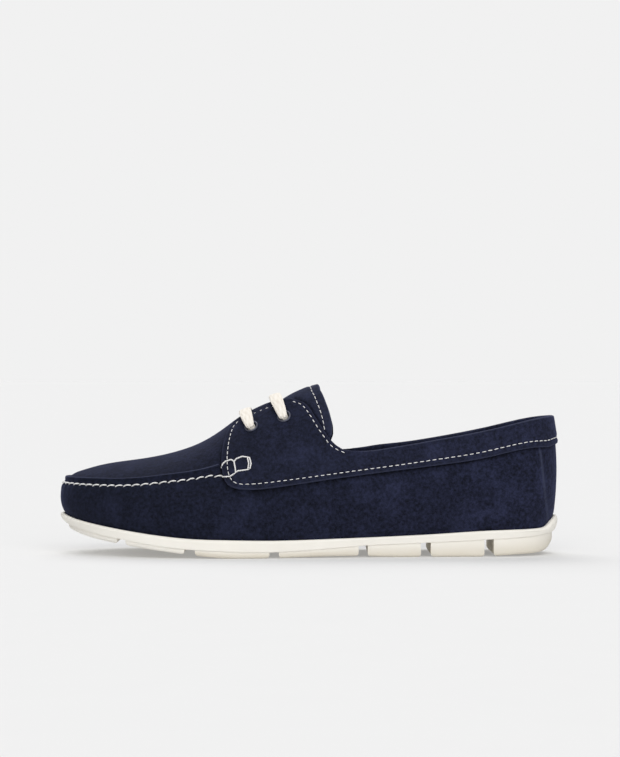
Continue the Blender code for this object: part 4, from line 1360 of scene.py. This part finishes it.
# %% Sizes of the creases and the heel patch
# Soft troughs (deep above 0) and swells (deep below 0), as lines seen from the side.
CREASES = table(
    "side x z to_x to_z width deep",
    (-1, -53.0, 43.0, -44.0, 33.0, 2.2, 0.50),
    (-1, -60.0, 42.5, -54.0, 35.0, 2.0, 0.32),
    (-1, -70.0, 41.0, -63.0, 34.5, 2.2, 0.26),
    (-1, -98.0, 31.0, -52.0, 33.5, 4.5, -0.45),
    (-1, -40.0, 26.0, -8.0, 24.0, 4.0, 0.35),
    (-1, 2.0, 30.0, 34.0, 33.0, 4.5, -0.35),
    (-1, 70.0, 33.0, 96.0, 36.0, 4.0, 0.30),
    (-1, 108.0, 43.0, 131.0, 41.0, 3.2, 0.42),
    (-1, 100.0, 51.5, 130.0, 53.0, 3.6, -0.30),
    (-1, 120.0, 26.0, 134.0, 30.0, 3.0, 0.25),
    (1, -55.0, 43.0, -45.0, 32.0, 2.3, 0.45),
    (1, -63.0, 42.5, -56.0, 34.0, 2.1, 0.35),
    (1, -92.0, 30.0, -50.0, 32.0, 4.5, -0.40),
    (1, -30.0, 30.0, 8.0, 27.0, 4.2, 0.45),
    (1, 14.0, 40.0, 44.0, 38.0, 3.6, -0.35),
    (1, 80.0, 30.0, 104.0, 34.0, 4.0, 0.30),
    (1, 106.0, 45.0, 130.0, 42.0, 3.4, 0.40),
)
# The back edge of the quarters, where the heel patch goes over them, and how far it stands proud.
PATCH_EDGE = table("z x", (14, 137.4), (25, 137.6), (33, 136.4), (46, 134.8), (56, 133.6), (66, 132.2))
PATCH_PROUD = 0.55
# How strong, how far off and how wide the patch's pale edge (its raw colour with a painted highlight) and the
# saddle's painted shadow are.
PATCH_MARK, SADDLE_SHADE = (0.75, 0.1, 0.45), (0.85, 0.4, 0.8)
# All these moves fade out this near the sole, so that the foot of the wall stays in the cup.
FOOT_FADE = 2.5
patch_edge = column(PATCH_EDGE, "x", "z")
print("creases:", len(CREASES["deep"]))

# %% Places on the upper
# The bulge makes the wall's length this much more than the straight way up.
WALL_BULGE = 1.03
# The upper stops at this share of the collar's height, and so far inside the saddle's edge.
UNDER_COLLAR, UNDER_SADDLE = 0.96, 0.03
# One more section just behind the throat, so that the opening starts there.
BEHIND_THROAT = 0.0015
saddle_border = np.append(LOWER_PLACES, FRONT_PLACES, axis=0)


def wall_and_apron(arounds, side):
    """How long the wall and the apron of each section are, nearly."""
    foot, seam, crest = (last(arounds, up, side) for up in (0, 1, 2))
    return length(seam - foot) * WALL_BULGE, length(crest - seam)


def moc_places(side, count=400):
    """Where the hand stitches run, from the middle of the toe back to the saddle."""
    arounds = np.linspace(0, SADDLE_START, count)
    wall, _ = wall_and_apron(arounds, side)
    return np.stack([arounds, 1 - stitch_drop(station(arounds)) / wall], axis=1)


def creases(points, side):
    """How far the listed creases sink or swell each point."""
    depth = np.zeros(points.shape[:2])
    for on_side, x, z, to_x, to_z, width, deep in zip(*CREASES.values()):
        if on_side != side:
            continue
        start, way = np.array([x, z]), np.array([to_x - x, to_z - z])
        here = points[..., [0, 2]] - start
        share = np.clip(here @ way / (way @ way), 0, 1)
        off = length(here - spread(share) * way)
        depth += deep * bump_at(off, width) * (0.35 + 0.65 * np.sin(np.pi * share))
    return depth


def before_throat(arounds):
    """Where the crest is closed. The margin takes in the section at the throat itself."""
    return arounds <= THROAT + 1e-6


def upper_top(arounds):
    """Where each section of the upper ends: at the crest, then just inside the saddle's edge."""
    inside = np.where(arounds > TOPLINE_START, UNDER_COLLAR, saddle_top(arounds) - UNDER_SADDLE)
    return np.where(before_throat(arounds), 2.0, inside)


def join_sides(pair, arounds):
    """Brings the two sides together: at the toe, the heel and along the closed crest."""
    outer, inner = pair
    for where in ((0, slice(None)), (-1, slice(None)), (before_throat(arounds), -1)):
        outer[where] = inner[where] = (outer[where] + inner[where]) / 2
    return pair


def wall_grids(outer, inner, arounds):
    """The two faces of a wall, and its borders at the foot and round the throat and the topline."""
    throat = np.flatnonzero(before_throat(arounds))[-1]
    borders = [(outer[:, 0], inner[:, 0]), (outer[throat:, -1], inner[throat:, -1])]
    return [outer, inner, *(np.stack(pair) for pair in borders)]


print("the wall is", wall_and_apron(around_at(-66.0), LATERAL)[0].round(1), "mm high at the ball")

# %% The upper's face
def gathers(arounds, x, below, side):
    """The puckers between the stitches, by how far below the stitches a point is."""
    places = moc_places(side)
    run = run_along(last(*places.T, side))
    pitch = run[-1] / round(run[-1] / MOC_PITCH)
    wave = -np.cos(2 * np.pi * spread(np.interp(arounds, places[:, 0], run)) / pitch)
    fade = np.where(below > 0, GATHER_BELOW, GATHER_ABOVE)
    return gather_depth(x) * wave * np.exp(-np.clip(abs(below), 0, 40) / fade)


def outer_face(arounds, side):
    """The suede's outer face on one side, and its marks."""
    wall, apron = (spread(run) for run in wall_and_apron(arounds, side))
    tall = np.linspace(0, 1, WALL_ROWS, endpoint=False) * (1 - NEAR_START / wall)
    near, over, rest = 1 - np.array(NEAR_SEAM) / wall, 1 + RIDGE["ahead"] / apron, 1 + OVER_END / apron
    ups = np.concatenate([tall, near, over, rest + (2 - rest) * np.linspace(0, 1, APRON_ROWS)], axis=1)
    ups = np.where(spread(before_throat(arounds)), ups, ups * spread(upper_top(arounds)) / 2)
    x = spread(station(arounds))
    stand = 1 - ease(x + seam_shift(x), *RIDGE_STOP)
    first = WALL_ROWS + len(NEAR_SEAM)
    ridge = slice(first, first + len(RIDGE["lift"]))
    lift, marks = np.zeros_like(ups), np.zeros_like(ups)
    # The ridge's marks paint its raw edges pale: their raw colour and a painted highlight.
    lift[:, ridge], marks[:, ridge] = RIDGE["lift"] * stand, RIDGE["mark"] * stand

    base = last(spread(arounds), ups, side)
    below = (1 - stitch_drop(x) / wall - ups) * wall
    move = gathers(arounds, x, below, side) * (ups <= 1.2) * stand
    move += stand * (swell(below, ROLL) - swell(below, STITCH_GROOVE)) * (ups <= 1) - creases(base, side)
    behind = base[..., 0] - patch_edge(base[..., 2])
    move += PATCH_PROUD * ease(behind, -0.35, 0.35) * (ups <= 1.02)
    # The patch's edge painted pale, raw colour and painted highlight; then the saddle's painted shadow.
    marks += swell(behind, PATCH_MARK) * (ups <= 1)
    marks -= swell(nearest(base, last(*saddle_border.T, side)), SADDLE_SHADE)
    move *= ease(ups * wall, 0.0, FOOT_FADE)
    points = base + outward_normal(spread(arounds), ups, side) * spread(move)
    points[..., 2] += lift
    return points, marks


# %% The upper
INNER_UPS = (0, 0.15, 0.3, 0.45, 0.6, 0.75, 0.9, 1.05, 1.2, 1.4, 1.6, 1.8, 2.0)


def make_upper():
    arounds = sections(UPPER_STRETCHES, THROAT, THROAT + BEHIND_THROAT)
    outers, inners, marks = [], [], []
    for side in SIDES:
        outer, mark = outer_face(arounds, side)
        inner = face(spread(arounds), INNER_UPS * spread(upper_top(arounds)) / 2, side, -SUEDE_WALL)
        tucks = (on_floor(arounds, side, LIP_WALL + 2 * GAP + wall, GAP) for wall in (0, SUEDE_WALL))
        for faces, sheet, tuck in zip((outers, inners), (outer, inner), tucks):
            faces.append(np.append(tuck[:, None], sheet, axis=1))
        marks.append(np.append(mark[:, :1], mark, axis=1))
    join_sides(outers, arounds)
    join_sides(inners, arounds)
    grids, grid_marks = [], []
    for outer, inner, mark in zip(outers, inners, marks):
        grids += wall_grids(outer, inner, arounds)
        grid_marks += [mark, 0, 0, 0]
    return mesh_piece("suede_upper", grids, grid_marks)


upper = make_upper()

# %% [markdown]
# ## The lining and the sock
#
# A driving shoe is hardly lined: thin leather against the suede inside, and a cushioned sock on
# the cup's floor. Both are closed sheets. The sock has a rounded edge and is a little hollowed
# under the heel and the ball, as a foot would leave it.

# %% The lining
LINING_STRETCHES = ((0.0, 0.42, 90), (0.42, 0.6, 50), (0.6, 1.0, 80))
LINING_FACES = (-1.05, -UPPER_WALL)
LINING_FOOT, LINING_ROWS = 0.02, 34


def make_lining():
    arounds = sections(LINING_STRETCHES, THROAT, THROAT + BEHIND_THROAT)
    top = np.where(before_throat(arounds), 2.0, upper_top(arounds) - UNDER_SADDLE)
    ups = LINING_FOOT + (spread(top) - LINING_FOOT) * np.linspace(0, 1, LINING_ROWS)
    layers = []
    for depth in LINING_FACES:
        layers.append(join_sides([face(spread(arounds), ups, side, depth) for side in SIDES], arounds))
    grids = [wall_grids(outer, inner, arounds) for outer, inner in zip(*layers)]
    return mesh_piece("lining_leather", sum(grids, []))


leather_lining = make_lining()

# %% The sock
SOCK_SECTIONS, SOCK_COLUMNS = 170, 44
SOCK_EDGE, SOCK_ROUND = 0.9, 2.0
# Where a foot has hollowed it: how deep, where along the shoe, and how long.
HEEL_HOLLOW, BALL_HOLLOW = (0.9, 98, 26), (0.7, -58, 30)


def make_sock():
    arounds = np.linspace(0, 1, SOCK_SECTIONS)
    inset = LIP_WALL + UPPER_WALL + 4 * GAP
    sides = [on_floor(arounds, side, inset, GAP) for side in SIDES]
    under = across(*sides, SOCK_COLUMNS)
    top = under.copy()
    x = top[..., 0]
    ends = np.minimum(x - x[0, 0], x[-1, 0] - x)
    share = np.linspace(0, 1, SOCK_COLUMNS)
    width = spread(length(sides[0] - sides[1])) * np.minimum(share, share[::-1])
    off = np.minimum(width, np.clip(ends, 0, None))
    hollow = swell(x, HEEL_HOLLOW) + swell(x, BALL_HOLLOW)
    rise = INSOLE_WALL - SOCK_EDGE * (1 - np.clip(off / SOCK_ROUND, 0, 1))
    top[..., 2] += rise - hollow * ease(off, 3, 16)
    return mesh_piece("sock", slab(top, under))


settle(make_sock(), "navy_lining", lining, "insole")

# %% [markdown]
# ## The saddle and collar band
#
# One long strip of suede lies over the front, carries the eyelets, and runs on as a band round
# the heel. Where it is the saddle its edges are cut raw, so they are a little rounded, and pale
# from their raw colour and a painted highlight. Where it is the collar it is folded over the top
# of the upper and down inside, and the fold is painted paler, partly for its nap and partly as a
# painted highlight. The sheet's face is lowered along the seam lines, and it swells a little
# between the seam and the edge.

# %% Rows of the saddle and the collar band
FOLD_RISE, FLAP = 1.1, 7.5
BODY_ROWS, FOLD_ROWS, FLAP_ROWS = 46, 10, 7
FACING_SECTIONS, BAND_SECTIONS = 170, 150


def saddle_sections():
    """Sections evenly along the saddle's top edge, then along the band."""
    arounds = SADDLE_START + (1 - SADDLE_START) * np.linspace(0, 1, 1200) ** 1.5
    run = run_along(last(arounds, saddle_top(arounds), LATERAL))
    facing_end = np.interp(TOPLINE_START, arounds, run)
    facing = np.interp(np.linspace(0, facing_end, FACING_SECTIONS, endpoint=False), run, arounds)
    return np.append(facing, np.linspace(TOPLINE_START, 1, BAND_SECTIONS))


def saddle_heights(arounds):
    """Heights of the rows: up the body, over the topline, and down the flap inside."""
    wall = spread(wall_and_apron(arounds, LATERAL)[0])
    folded = spread(ease(arounds, TOPLINE_START, TOPLINE_START + 0.03))
    low, high = spread(saddle_lower(arounds)), spread(saddle_top(arounds)) - folded * FOLD_RISE / wall
    high[0] = low[0] + 0.01
    share = (1 - np.cos(np.pi * np.linspace(0, 1, BODY_ROWS))) / 2
    over = high + folded * FOLD_RISE * np.sin(np.linspace(0, np.pi, FOLD_ROWS)) / wall
    down = high - folded * (FLAP / wall) * np.linspace(0.15, 1, FLAP_ROWS)
    return np.concatenate([low + (high - low) * share, over, down], axis=1), folded


print("sections of the saddle and the band:", len(saddle_sections()))

# %% The saddle and collar band
# The saddle and the tongue get a little of the pale edge tone all over, so they are a little paler than the
# wall.
SADDLE_PALER, TONGUE_PALER = 0.05, 0.22
# How deep and wide the raw edge is rounded, how pale it is from its raw colour and a painted highlight, and
# the swells beside it and the seam.
EDGE_DEPTH, EDGE_ROUND = 0.6, 0.8
EDGE_MARK, EDGE_SWELL, SEAM_SWELL = (0.6, 0.0, 0.45), (0.16, 1.9, 0.9), (0.12, 2.2, 1.4)
# The faces' distances from the last, on the body and on the flap inside the collar, and if it shows.
SADDLE_OUTSIDE, SADDLE_INSIDE = (SADDLE_FACE, -2.0, True), (CURVED_GAP, -1.2, False)


def saddle_side(arounds, side, front, back, outside):
    """One side of one face of the sheet, with front and back its distances from the last."""
    ups, folded = saddle_heights(arounds)
    around = spread(arounds)
    body, marks = np.full((len(arounds), BODY_ROWS), front), np.zeros_like(ups)
    if outside:
        flat = face(around, ups[:, :BODY_ROWS], side, body)
        off = nearest(flat, np.concatenate([flat[:, 0], flat[arounds < TOPLINE_START + 0.01, -1]]))
        seams = np.concatenate([seam(line, side, front)[0] for line in (lower_seam, top_seam)])
        sewn = nearest(flat, seams)
        body -= EDGE_DEPTH * rounded(off, EDGE_ROUND) + SEAM_SINK * bump_at(sewn, SEAM_WIDTH)
        body += swell(off, EDGE_SWELL) + swell(sewn, SEAM_SWELL)
        # Marks: a little paler all over, and the raw edge paler, from its raw colour and a painted highlight.
        marks[:, :BODY_ROWS] = SADDLE_PALER + swell(off, EDGE_MARK)
        # The outer rows of the fold over the topline are painted paler: partly its nap, partly a painted
        # highlight where the fold catches the light.
        marks[:, BODY_ROWS : BODY_ROWS + 4] = 0.5 * folded
    turn = np.cos(np.linspace(0, np.pi, FOLD_ROWS))
    bent = np.append((front + back) / 2 + (front - back) / 2 * turn, np.full(FLAP_ROWS, back))
    outs = np.append(body, body[:, -1:] * (1 - folded) + folded * bent, axis=1)
    return face(around, ups, side, outs), marks


arounds, depths = saddle_sections(), (SADDLE_OUTSIDE, SADDLE_INSIDE)
faces = [[saddle_side(arounds, side, *depth) for side in SIDES] for depth in depths]
saddle = sheet_piece("saddle_band", faces)

# %% [markdown]
# ## The tongue
#
# A padded flap of suede that starts under the apron and comes out behind the rear lace. Its free
# end is arched by the foot, so from the side it leans back. It is a sheet with soft round edges
# and one machine seam that follows its end.

# %% The tongue as a function
TONGUE_SEAM, TONGUE_SEAM_DEPTH = 5.0, 0.12
TONGUE_START, TONGUE_STOP = TONGUE["crest"][[0, -1]]

tongue_end = [(section_of_crest(TONGUE_STOP), 2.0)]
tongue_end += [*place_on_last(TONGUE_END["x"], TONGUE_END["z"], -TONGUE_END_DEPTH)]
TONGUE_END_AROUND, TONGUE_END_UP = np.array(tongue_end[::-1]).T


def tongue_sheet(crests, side, extra, share):
    """Points of the tongue under the last: extra is how deep in its thickness they are."""
    drop, tuck, low = (spread(column(TONGUE, name, "crest")(crests)) for name in ("drop", "tuck", "low"))
    ups = low + (2 - low) * share
    leans = np.interp(ups, TONGUE_END_UP, TONGUE_END_AROUND) - section_of_crest(TONGUE_STOP)
    along = spread((crests - TONGUE_START) / (TONGUE_STOP - TONGUE_START))
    arounds = spread(section_of_crest(crests)) + leans * along**3
    return face(arounds, ups, side, -(drop + tuck * (2 - ups) + extra)), outward_normal(arounds, ups, side)


def tongue_line(side):
    """The seam across the tongue, a little in from its end, on one side."""
    crests, share = np.array([TONGUE_STOP - TONGUE_SEAM]), np.linspace(0.14, 1, 160)
    points, outs = tongue_sheet(crests, side, TONGUE_SEAM_DEPTH, share)
    return points[0], outs[0]


print("seam across half the tongue:", run_along(tongue_line(LATERAL)[0])[-1].round(1), "mm")

# %% The tongue
TONGUE_SECTIONS, TONGUE_COLUMNS = 110, 44
TONGUE_EDGE, TONGUE_ROUND = 1.05, 1.3
TONGUE_SINK, TONGUE_PAD = (0.25, 0.0, 0.8), (0.15, 7, 3.0)
# The saddle's shadow along its rear edge: how dark, how far off, and how wide.
REAR_SHADE = (0.8, 0.2, 0.8)


def tongue_side(crests, side, outside, share):
    """One side of one face of the tongue, up from its border to the crest, and its marks."""
    flat, _ = tongue_sheet(crests, side, 0 if outside else TONGUE_WALL, share)
    off = nearest(flat, np.concatenate([flat[-1], flat[:, 0]]))
    round_in = TONGUE_EDGE * rounded(off, TONGUE_ROUND)
    if outside:
        sewn = nearest(flat, tongue_line(side)[0])
        depth = round_in + swell(sewn, TONGUE_SINK) - swell(off, TONGUE_PAD)
    else:
        depth = TONGUE_WALL - round_in
    rear_border = face(*REAR_PLACES.T, LATERAL, SADDLE_FACE)[:, [0, 2]]
    shade = swell(nearest(flat[..., [0, 2]], rear_border), REAR_SHADE)
    # Marks: a little paler all over, paler at the border from its raw colour and a painted highlight, and
    # painted shadow along the saddle's rear edge.
    marks = (TONGUE_PALER + bump_at(off, 0.5) - shade) * outside
    return tongue_sheet(crests, side, depth, share)[0].swapaxes(0, 1), marks.T


quarter_turn = np.pi / 2
reach = np.sin(quarter_turn * np.linspace(0, 1, TONGUE_SECTIONS))
crests = TONGUE_START + (TONGUE_STOP - TONGUE_START) * reach
share = 1 - np.cos(quarter_turn * np.linspace(0, 1, TONGUE_COLUMNS))
faces = [[tongue_side(crests, side, outside, share) for side in SIDES] for outside in (True, False)]
settle(sheet_piece("tongue_flap", faces), "navy_suede", suede, "tongue")

# %% [markdown]
# ## Holes and eyelets
#
# The lace goes through the saddle, the upper and the lining, so all three are cut by the same four
# round cutters. The eyelets are turned pieces: a barrel, and a small rolled rim on the saddle.

# %% The holes
EYELET_SIDES = 40
HOLE_REACH = 5


def eyelet_frame(name, side):
    """The eyelet's middle on the last, and its directions: to the toe, down the section, and out."""
    around, up = place_on_last(*EYELETS[name])
    out = outward_normal(around, up, side)
    ahead = last(around - 0.01, up, side) - last(around + 0.01, up, side)
    ahead = unit(ahead - out * np.dot(ahead, out))
    return last(around, up, side), ahead, np.cross(out, ahead) * side, out


def turned_grid(frame, profile):
    """A grid turned about the frame's outward axis from (radius, height) rows."""
    centre, ahead, down, out = frame
    angles = np.linspace(0, 2 * np.pi, EYELET_SIDES + 1)
    angles[-1] = 0
    spoke = spread(np.cos(angles)) * ahead + spread(np.sin(angles)) * down
    return np.stack([centre + radius * spoke + height * out for radius, height in profile])


frames = [eyelet_frame(name, side) for name in EYELETS for side in SIDES]
hole = [(0, -HOLE_REACH), (HOLE_RADIUS, -HOLE_REACH), (HOLE_RADIUS, HOLE_REACH), (0, HOLE_REACH)]
for piece in (saddle, upper, leather_lining):
    combine(piece, mesh_piece("cutters", [turned_grid(each, hole) for each in frames]), "DIFFERENCE")
settle(upper, "navy_suede", suede, "upper")
settle(leather_lining, "navy_lining", lining)
settle(saddle, "navy_suede", suede, "saddle_collar")

# %% The eyelets
ROLL_RADIUS = 0.42
# How worn the rolled rim's lacquer is, row by row round the roll; its paler top is partly a painted
# highlight.
RIM_WEAR_AND_HIGHLIGHT = (0, 0, 0, *np.linspace(0.2, 1, 6), *np.linspace(1, 0.3, 6), 0, 0)


def eyelet_profile():
    """Up the barrel, round the rolled rim, and back down the bore."""
    seat, barrel = SADDLE_FACE - 0.15, HOLE_RADIUS - 0.2
    middle = EYELET_FLANGE - 0.1 - ROLL_RADIUS
    rows = [(EYELET_BORE, -UPPER_WALL), (barrel, -UPPER_WALL), (barrel, seat)]
    for angle in np.radians(np.linspace(-60, 200, 12)):
        rise = ROLL_RADIUS + ROLL_RADIUS * math.sin(angle)
        rows.append((middle + ROLL_RADIUS * math.cos(angle), seat + rise))
    return [*rows, (EYELET_BORE, seat + 0.2), (EYELET_BORE, -UPPER_WALL)]


rings = [turned_grid(each, eyelet_profile()) for each in frames]
eyelets = mesh_piece("eyelet_rings", rings, [spread(RIM_WEAR_AND_HIGHLIGHT)] * len(rings))
names = [f"eyelet_{name}_{where}" for name in EYELETS for where in SIDES.values()]
settle(eyelets, "dark_metal", lacquer, *names)

# %% [markdown]
# ## The lace
#
# A flat cotton braid crosses the tongue twice, and its hidden run joins the two bars inside each
# facing. A braid is eight strands winding one way over and under eight winding the other way. Its
# face is therefore one height rule on a flattened tube: the higher of two families of rounded
# ribs, which take turns to be on top. That gives a closed skin with every crossing in it, and far
# fewer faces than sixteen separate strands.

# %% The lace's route
LACE_HALF_HEIGHT = 0.95


def lace_corner(name, side):
    """The lace from the crest over the facing, down through one eyelet and on to the hidden run.

    Each row is a middle point, the direction of its width, and half its width and height.
    """
    centre, ahead, down, out = eyelet_frame(name, side)
    around, up = place_on_last(*EYELETS[name])
    way = 1 if name == "front" else -1
    rows = []
    for share, lift, width, shift in zip(*LACE_OVER.values()):
        middle = face(around, 2 - (2 - up) * share, side, lift) + ahead * shift
        rows.append((*middle, *ahead, width, LACE_HALF_HEIGHT))
    for back, outward, shift, along, turn, width, height in zip(*LACE_THROUGH.values()):
        middle = centre - down * back + out * outward + ahead * (shift - along * way)
        rows.append((*middle, *unit(ahead + turn * way * down), width, height))
    return rows


def hidden_run(side):
    """The lace inside, between the front eyelet and the rear one."""
    front, rear = (np.array(place_on_last(*EYELETS[name])) for name in ("front", "rear"))
    rows = []
    for share in LACE_INSIDE["shares"]:
        around, up = front + (rear - front) * share
        below = last(around, up - 0.03, side) - last(around, up + 0.03, side)
        middle = face(around, up, side, -LACE_INSIDE["depth"])
        rows.append((*middle, *unit(below), LACE_INSIDE["width"], LACE_INSIDE["height"]))
    return rows


def lace_route():
    """The closed route: front bar, inner side, rear bar, outer side, with no width turned over."""
    front_out, front_in = lace_corner("front", LATERAL), lace_corner("front", MEDIAL)
    rear_out, rear_in = lace_corner("rear", LATERAL), lace_corner("rear", MEDIAL)
    route = front_in + hidden_run(MEDIAL) + rear_in[::-1]
    route = np.array(route + rear_out[1:] + hidden_run(LATERAL)[::-1] + front_out[:0:-1])
    for before, here in zip(route, route[1:]):
        if np.dot(before[3:6], here[3:6]) < 0:
            here[3:6] *= -1
    return route


route = lace_route()
print("rows along the lace:", len(route))

# %% The braid
LACE_SAMPLES, LACE_SIDES = 11, 72
# How square the flat tube's section is, as powers across its width and its thickness.
WIDTH_POWER, THICK_POWER = 0.8, 0.7
STRANDS, STRAND_TURN = 8, 88.0
STRAND_RISE, STRAND_WEAVE = 0.30, 0.10


def closed_curve(values, samples):
    """A smooth closed curve through rows of values, with so many samples to each row."""
    before, after, later = (np.roll(values, k, axis=0) for k in (1, -1, -2))
    leave, arrive = (after - before) / 2, (later - values) / 2
    made = [hermite(values, after, leave, arrive, t) for t in np.arange(samples) / samples]
    return np.stack(made, axis=1).reshape(-1, values.shape[1])


def braid(along, round_it, total):
    """How high the braid stands at each place of the tube's skin, and the painted shade between ribs."""
    wound = 2 * np.pi * round(total / STRAND_TURN) * along / total
    one, other = (STRANDS * (round_it + way * wound) / (2 * np.pi) for way in (-1, 1))
    over = np.cos(np.pi * one) * np.cos(np.pi * other)

    def rib(place):
        return np.sqrt(1 - np.clip(2 * np.abs(place - np.round(place)), 0, 1) ** 2 * 0.98)

    first = STRAND_RISE * rib(one) + STRAND_WEAVE * over
    height = np.maximum(first, STRAND_RISE * rib(other) - STRAND_WEAVE * over)
    return height, 1 - height / (STRAND_RISE + STRAND_WEAVE)


def make_lace():
    values = closed_curve(route, LACE_SAMPLES)
    middle, wide, half_width, half_height = np.split(values, (3, 6, 7), axis=1)
    along = unit(np.roll(middle, -1, axis=0) - np.roll(middle, 1, axis=0))
    wide = unit(wide - along * np.sum(wide * along, axis=1, keepdims=True))
    thick = np.cross(along, wide)
    run = run_along(np.append(middle, middle[:1], axis=0))
    angles = np.linspace(0, 2 * np.pi, LACE_SIDES + 1)
    # gaps is painted shade between the ribs, kept as the lace's mark.
    height, gaps = braid(spread(run[:-1]), angles, run[-1])
    cosine, sine = np.cos(angles), np.sin(angles)
    out_wide = (half_width - STRAND_RISE) * np.sign(cosine) * abs(cosine) ** WIDTH_POWER + height * cosine
    out_thick = (half_height - STRAND_RISE) * np.sign(sine) * abs(sine) ** THICK_POWER + height * sine
    grid = middle[:, None] + wide[:, None] * spread(out_wide) + thick[:, None] * spread(out_thick)
    grid[:, -1], gaps[:, -1] = grid[:, 0], gaps[:, 0]
    print("lace loop in mm:", round(run[-1]))
    return mesh_piece("lace_braid", [np.append(grid, grid[:1], axis=0)], [np.append(gaps, gaps[:1], axis=0)])


settle(make_lace(), "cream_cotton", cotton, "lace")

# %% [markdown]
# ## Sewing it all
#
# Machine stitches are short and even, and lie flush in the groove that they pull. The hand
# stitches of the moccasin seam are thick waxed thread, each slanted a little up towards the heel.

# %% Machine seams
MACHINE, MACHINE_PITCH = {"Length": 2.5, "Radius": 0.23, "Rise": 0.14, "Dip": 0.26}, 3.6
# Each seam's places, and how proud of its groove the thread lies.
SEAMS = {"saddle": (lower_seam, 0.12), "collar": (rear_seam, 0.12), "facing": (facing_seam, -0.12)}

for side, where in SIDES.items():
    rows = {name: seam(line, side, SADDLE_FACE - SEAM_SINK + proud) for name, (line, proud) in SEAMS.items()}
    rows["tongue"] = tongue_line(side)
    for name, (points, outs) in rows.items():
        sew(f"{name}_stitches_{where}", points, outs, MACHINE_PITCH, MACHINE)

# %% The hand-sewn seam
MOCCASIN = {"Length": 4.9, "Radius": 0.44, "Rise": 0.46, "Dip": 0.95, "Twist": 5.0}
MOC_SLANT, MOC_LIFT = 0.6, 0.05

for side, where in SIDES.items():
    points, outs = seam(moc_places(side), side, MOC_LIFT)
    sew(f"moccasin_stitches_{where}", points, outs, MOC_PITCH, {**MOCCASIN, "Slant": -MOC_SLANT * side})

# %% [markdown]
# ## The lashing
#
# Where the hand-sewn seam meets the saddle, the same thread is lashed twice through the saddle to
# hold its corner down. It shows as two small boxes side by side, the rear one closed by a doubled
# upright. The threads are laid along drawn lines, and dive into the leather at their ends.

# %% The lashing
# Each thread's knots: x and z from the side, and how far it is lifted off the last.
LASHING = {
    "front_arch": (
        (-49.3, 51.4, 0.8), (-48.5, 53.0, 2.3), (-46.8, 54.4, 2.45), (-43.6, 55.4, 2.4), (-42.0, 54.7, 1.4)
    ),
    "middle_bar": ((-42.1, 55.4, 1.5), (-41.9, 53.6, 2.35), (-41.3, 50.8, 2.35), (-41.0, 48.2, 1.5)),
    "front_foot": ((-48.7, 46.6, 0.7), (-46.9, 45.9, 2.2), (-44.4, 46.0, 2.4), (-41.0, 48.4, 1.5)),
    "rear_top": ((-41.8, 54.9, 1.5), (-40.9, 55.8, 2.35), (-37.4, 57.2, 2.35), (-34.2, 57.2, 1.4)),
    "rear_bar": ((-35.2, 57.4, 1.4), (-34.4, 56.8, 2.4), (-33.6, 53.2, 2.5), (-34.2, 50.0, 1.4)),
    "rear_bar_again": ((-34.3, 57.2, 1.4), (-33.2, 56.4, 2.5), (-32.3, 53.2, 2.6), (-33.1, 50.2, 1.4)),
    "rear_foot": ((-41.2, 48.6, 1.5), (-39.9, 49.1, 2.35), (-36.8, 49.5, 2.35), (-32.8, 50.5, 1.4)),
}
LASHING_THREAD = {"Radius": 0.45 * MM, "Twist": 2.4 / MM, "Finish": thread}


def bent(knots, count=60, soften=3):
    """Straight runs between the knots, as rows of (around, up, lift), with their corners softened."""
    rows = np.array([(*place_on_last(x, z), lift) for x, z, lift in knots])
    run = run_along(np.array(knots)[:, :2])
    rows = resampled(np.linspace(0, run[-1], count), run, rows)
    for _ in range(soften):
        rows[1:-1] = (rows[:-2] + 2 * rows[1:-1] + rows[2:]) / 4
    return rows.T


for side, where in SIDES.items():
    threads = [bent(knots) for knots in LASHING.values()]
    lines = [face(around, up, side, lift) for around, up, lift in threads]
    outs = [outward_normal(around, up, side) for around, up, _ in threads]
    settle(run_tree(f"lashing_{where}", cord_tree, lines, outs, LASHING_THREAD), "white_thread")
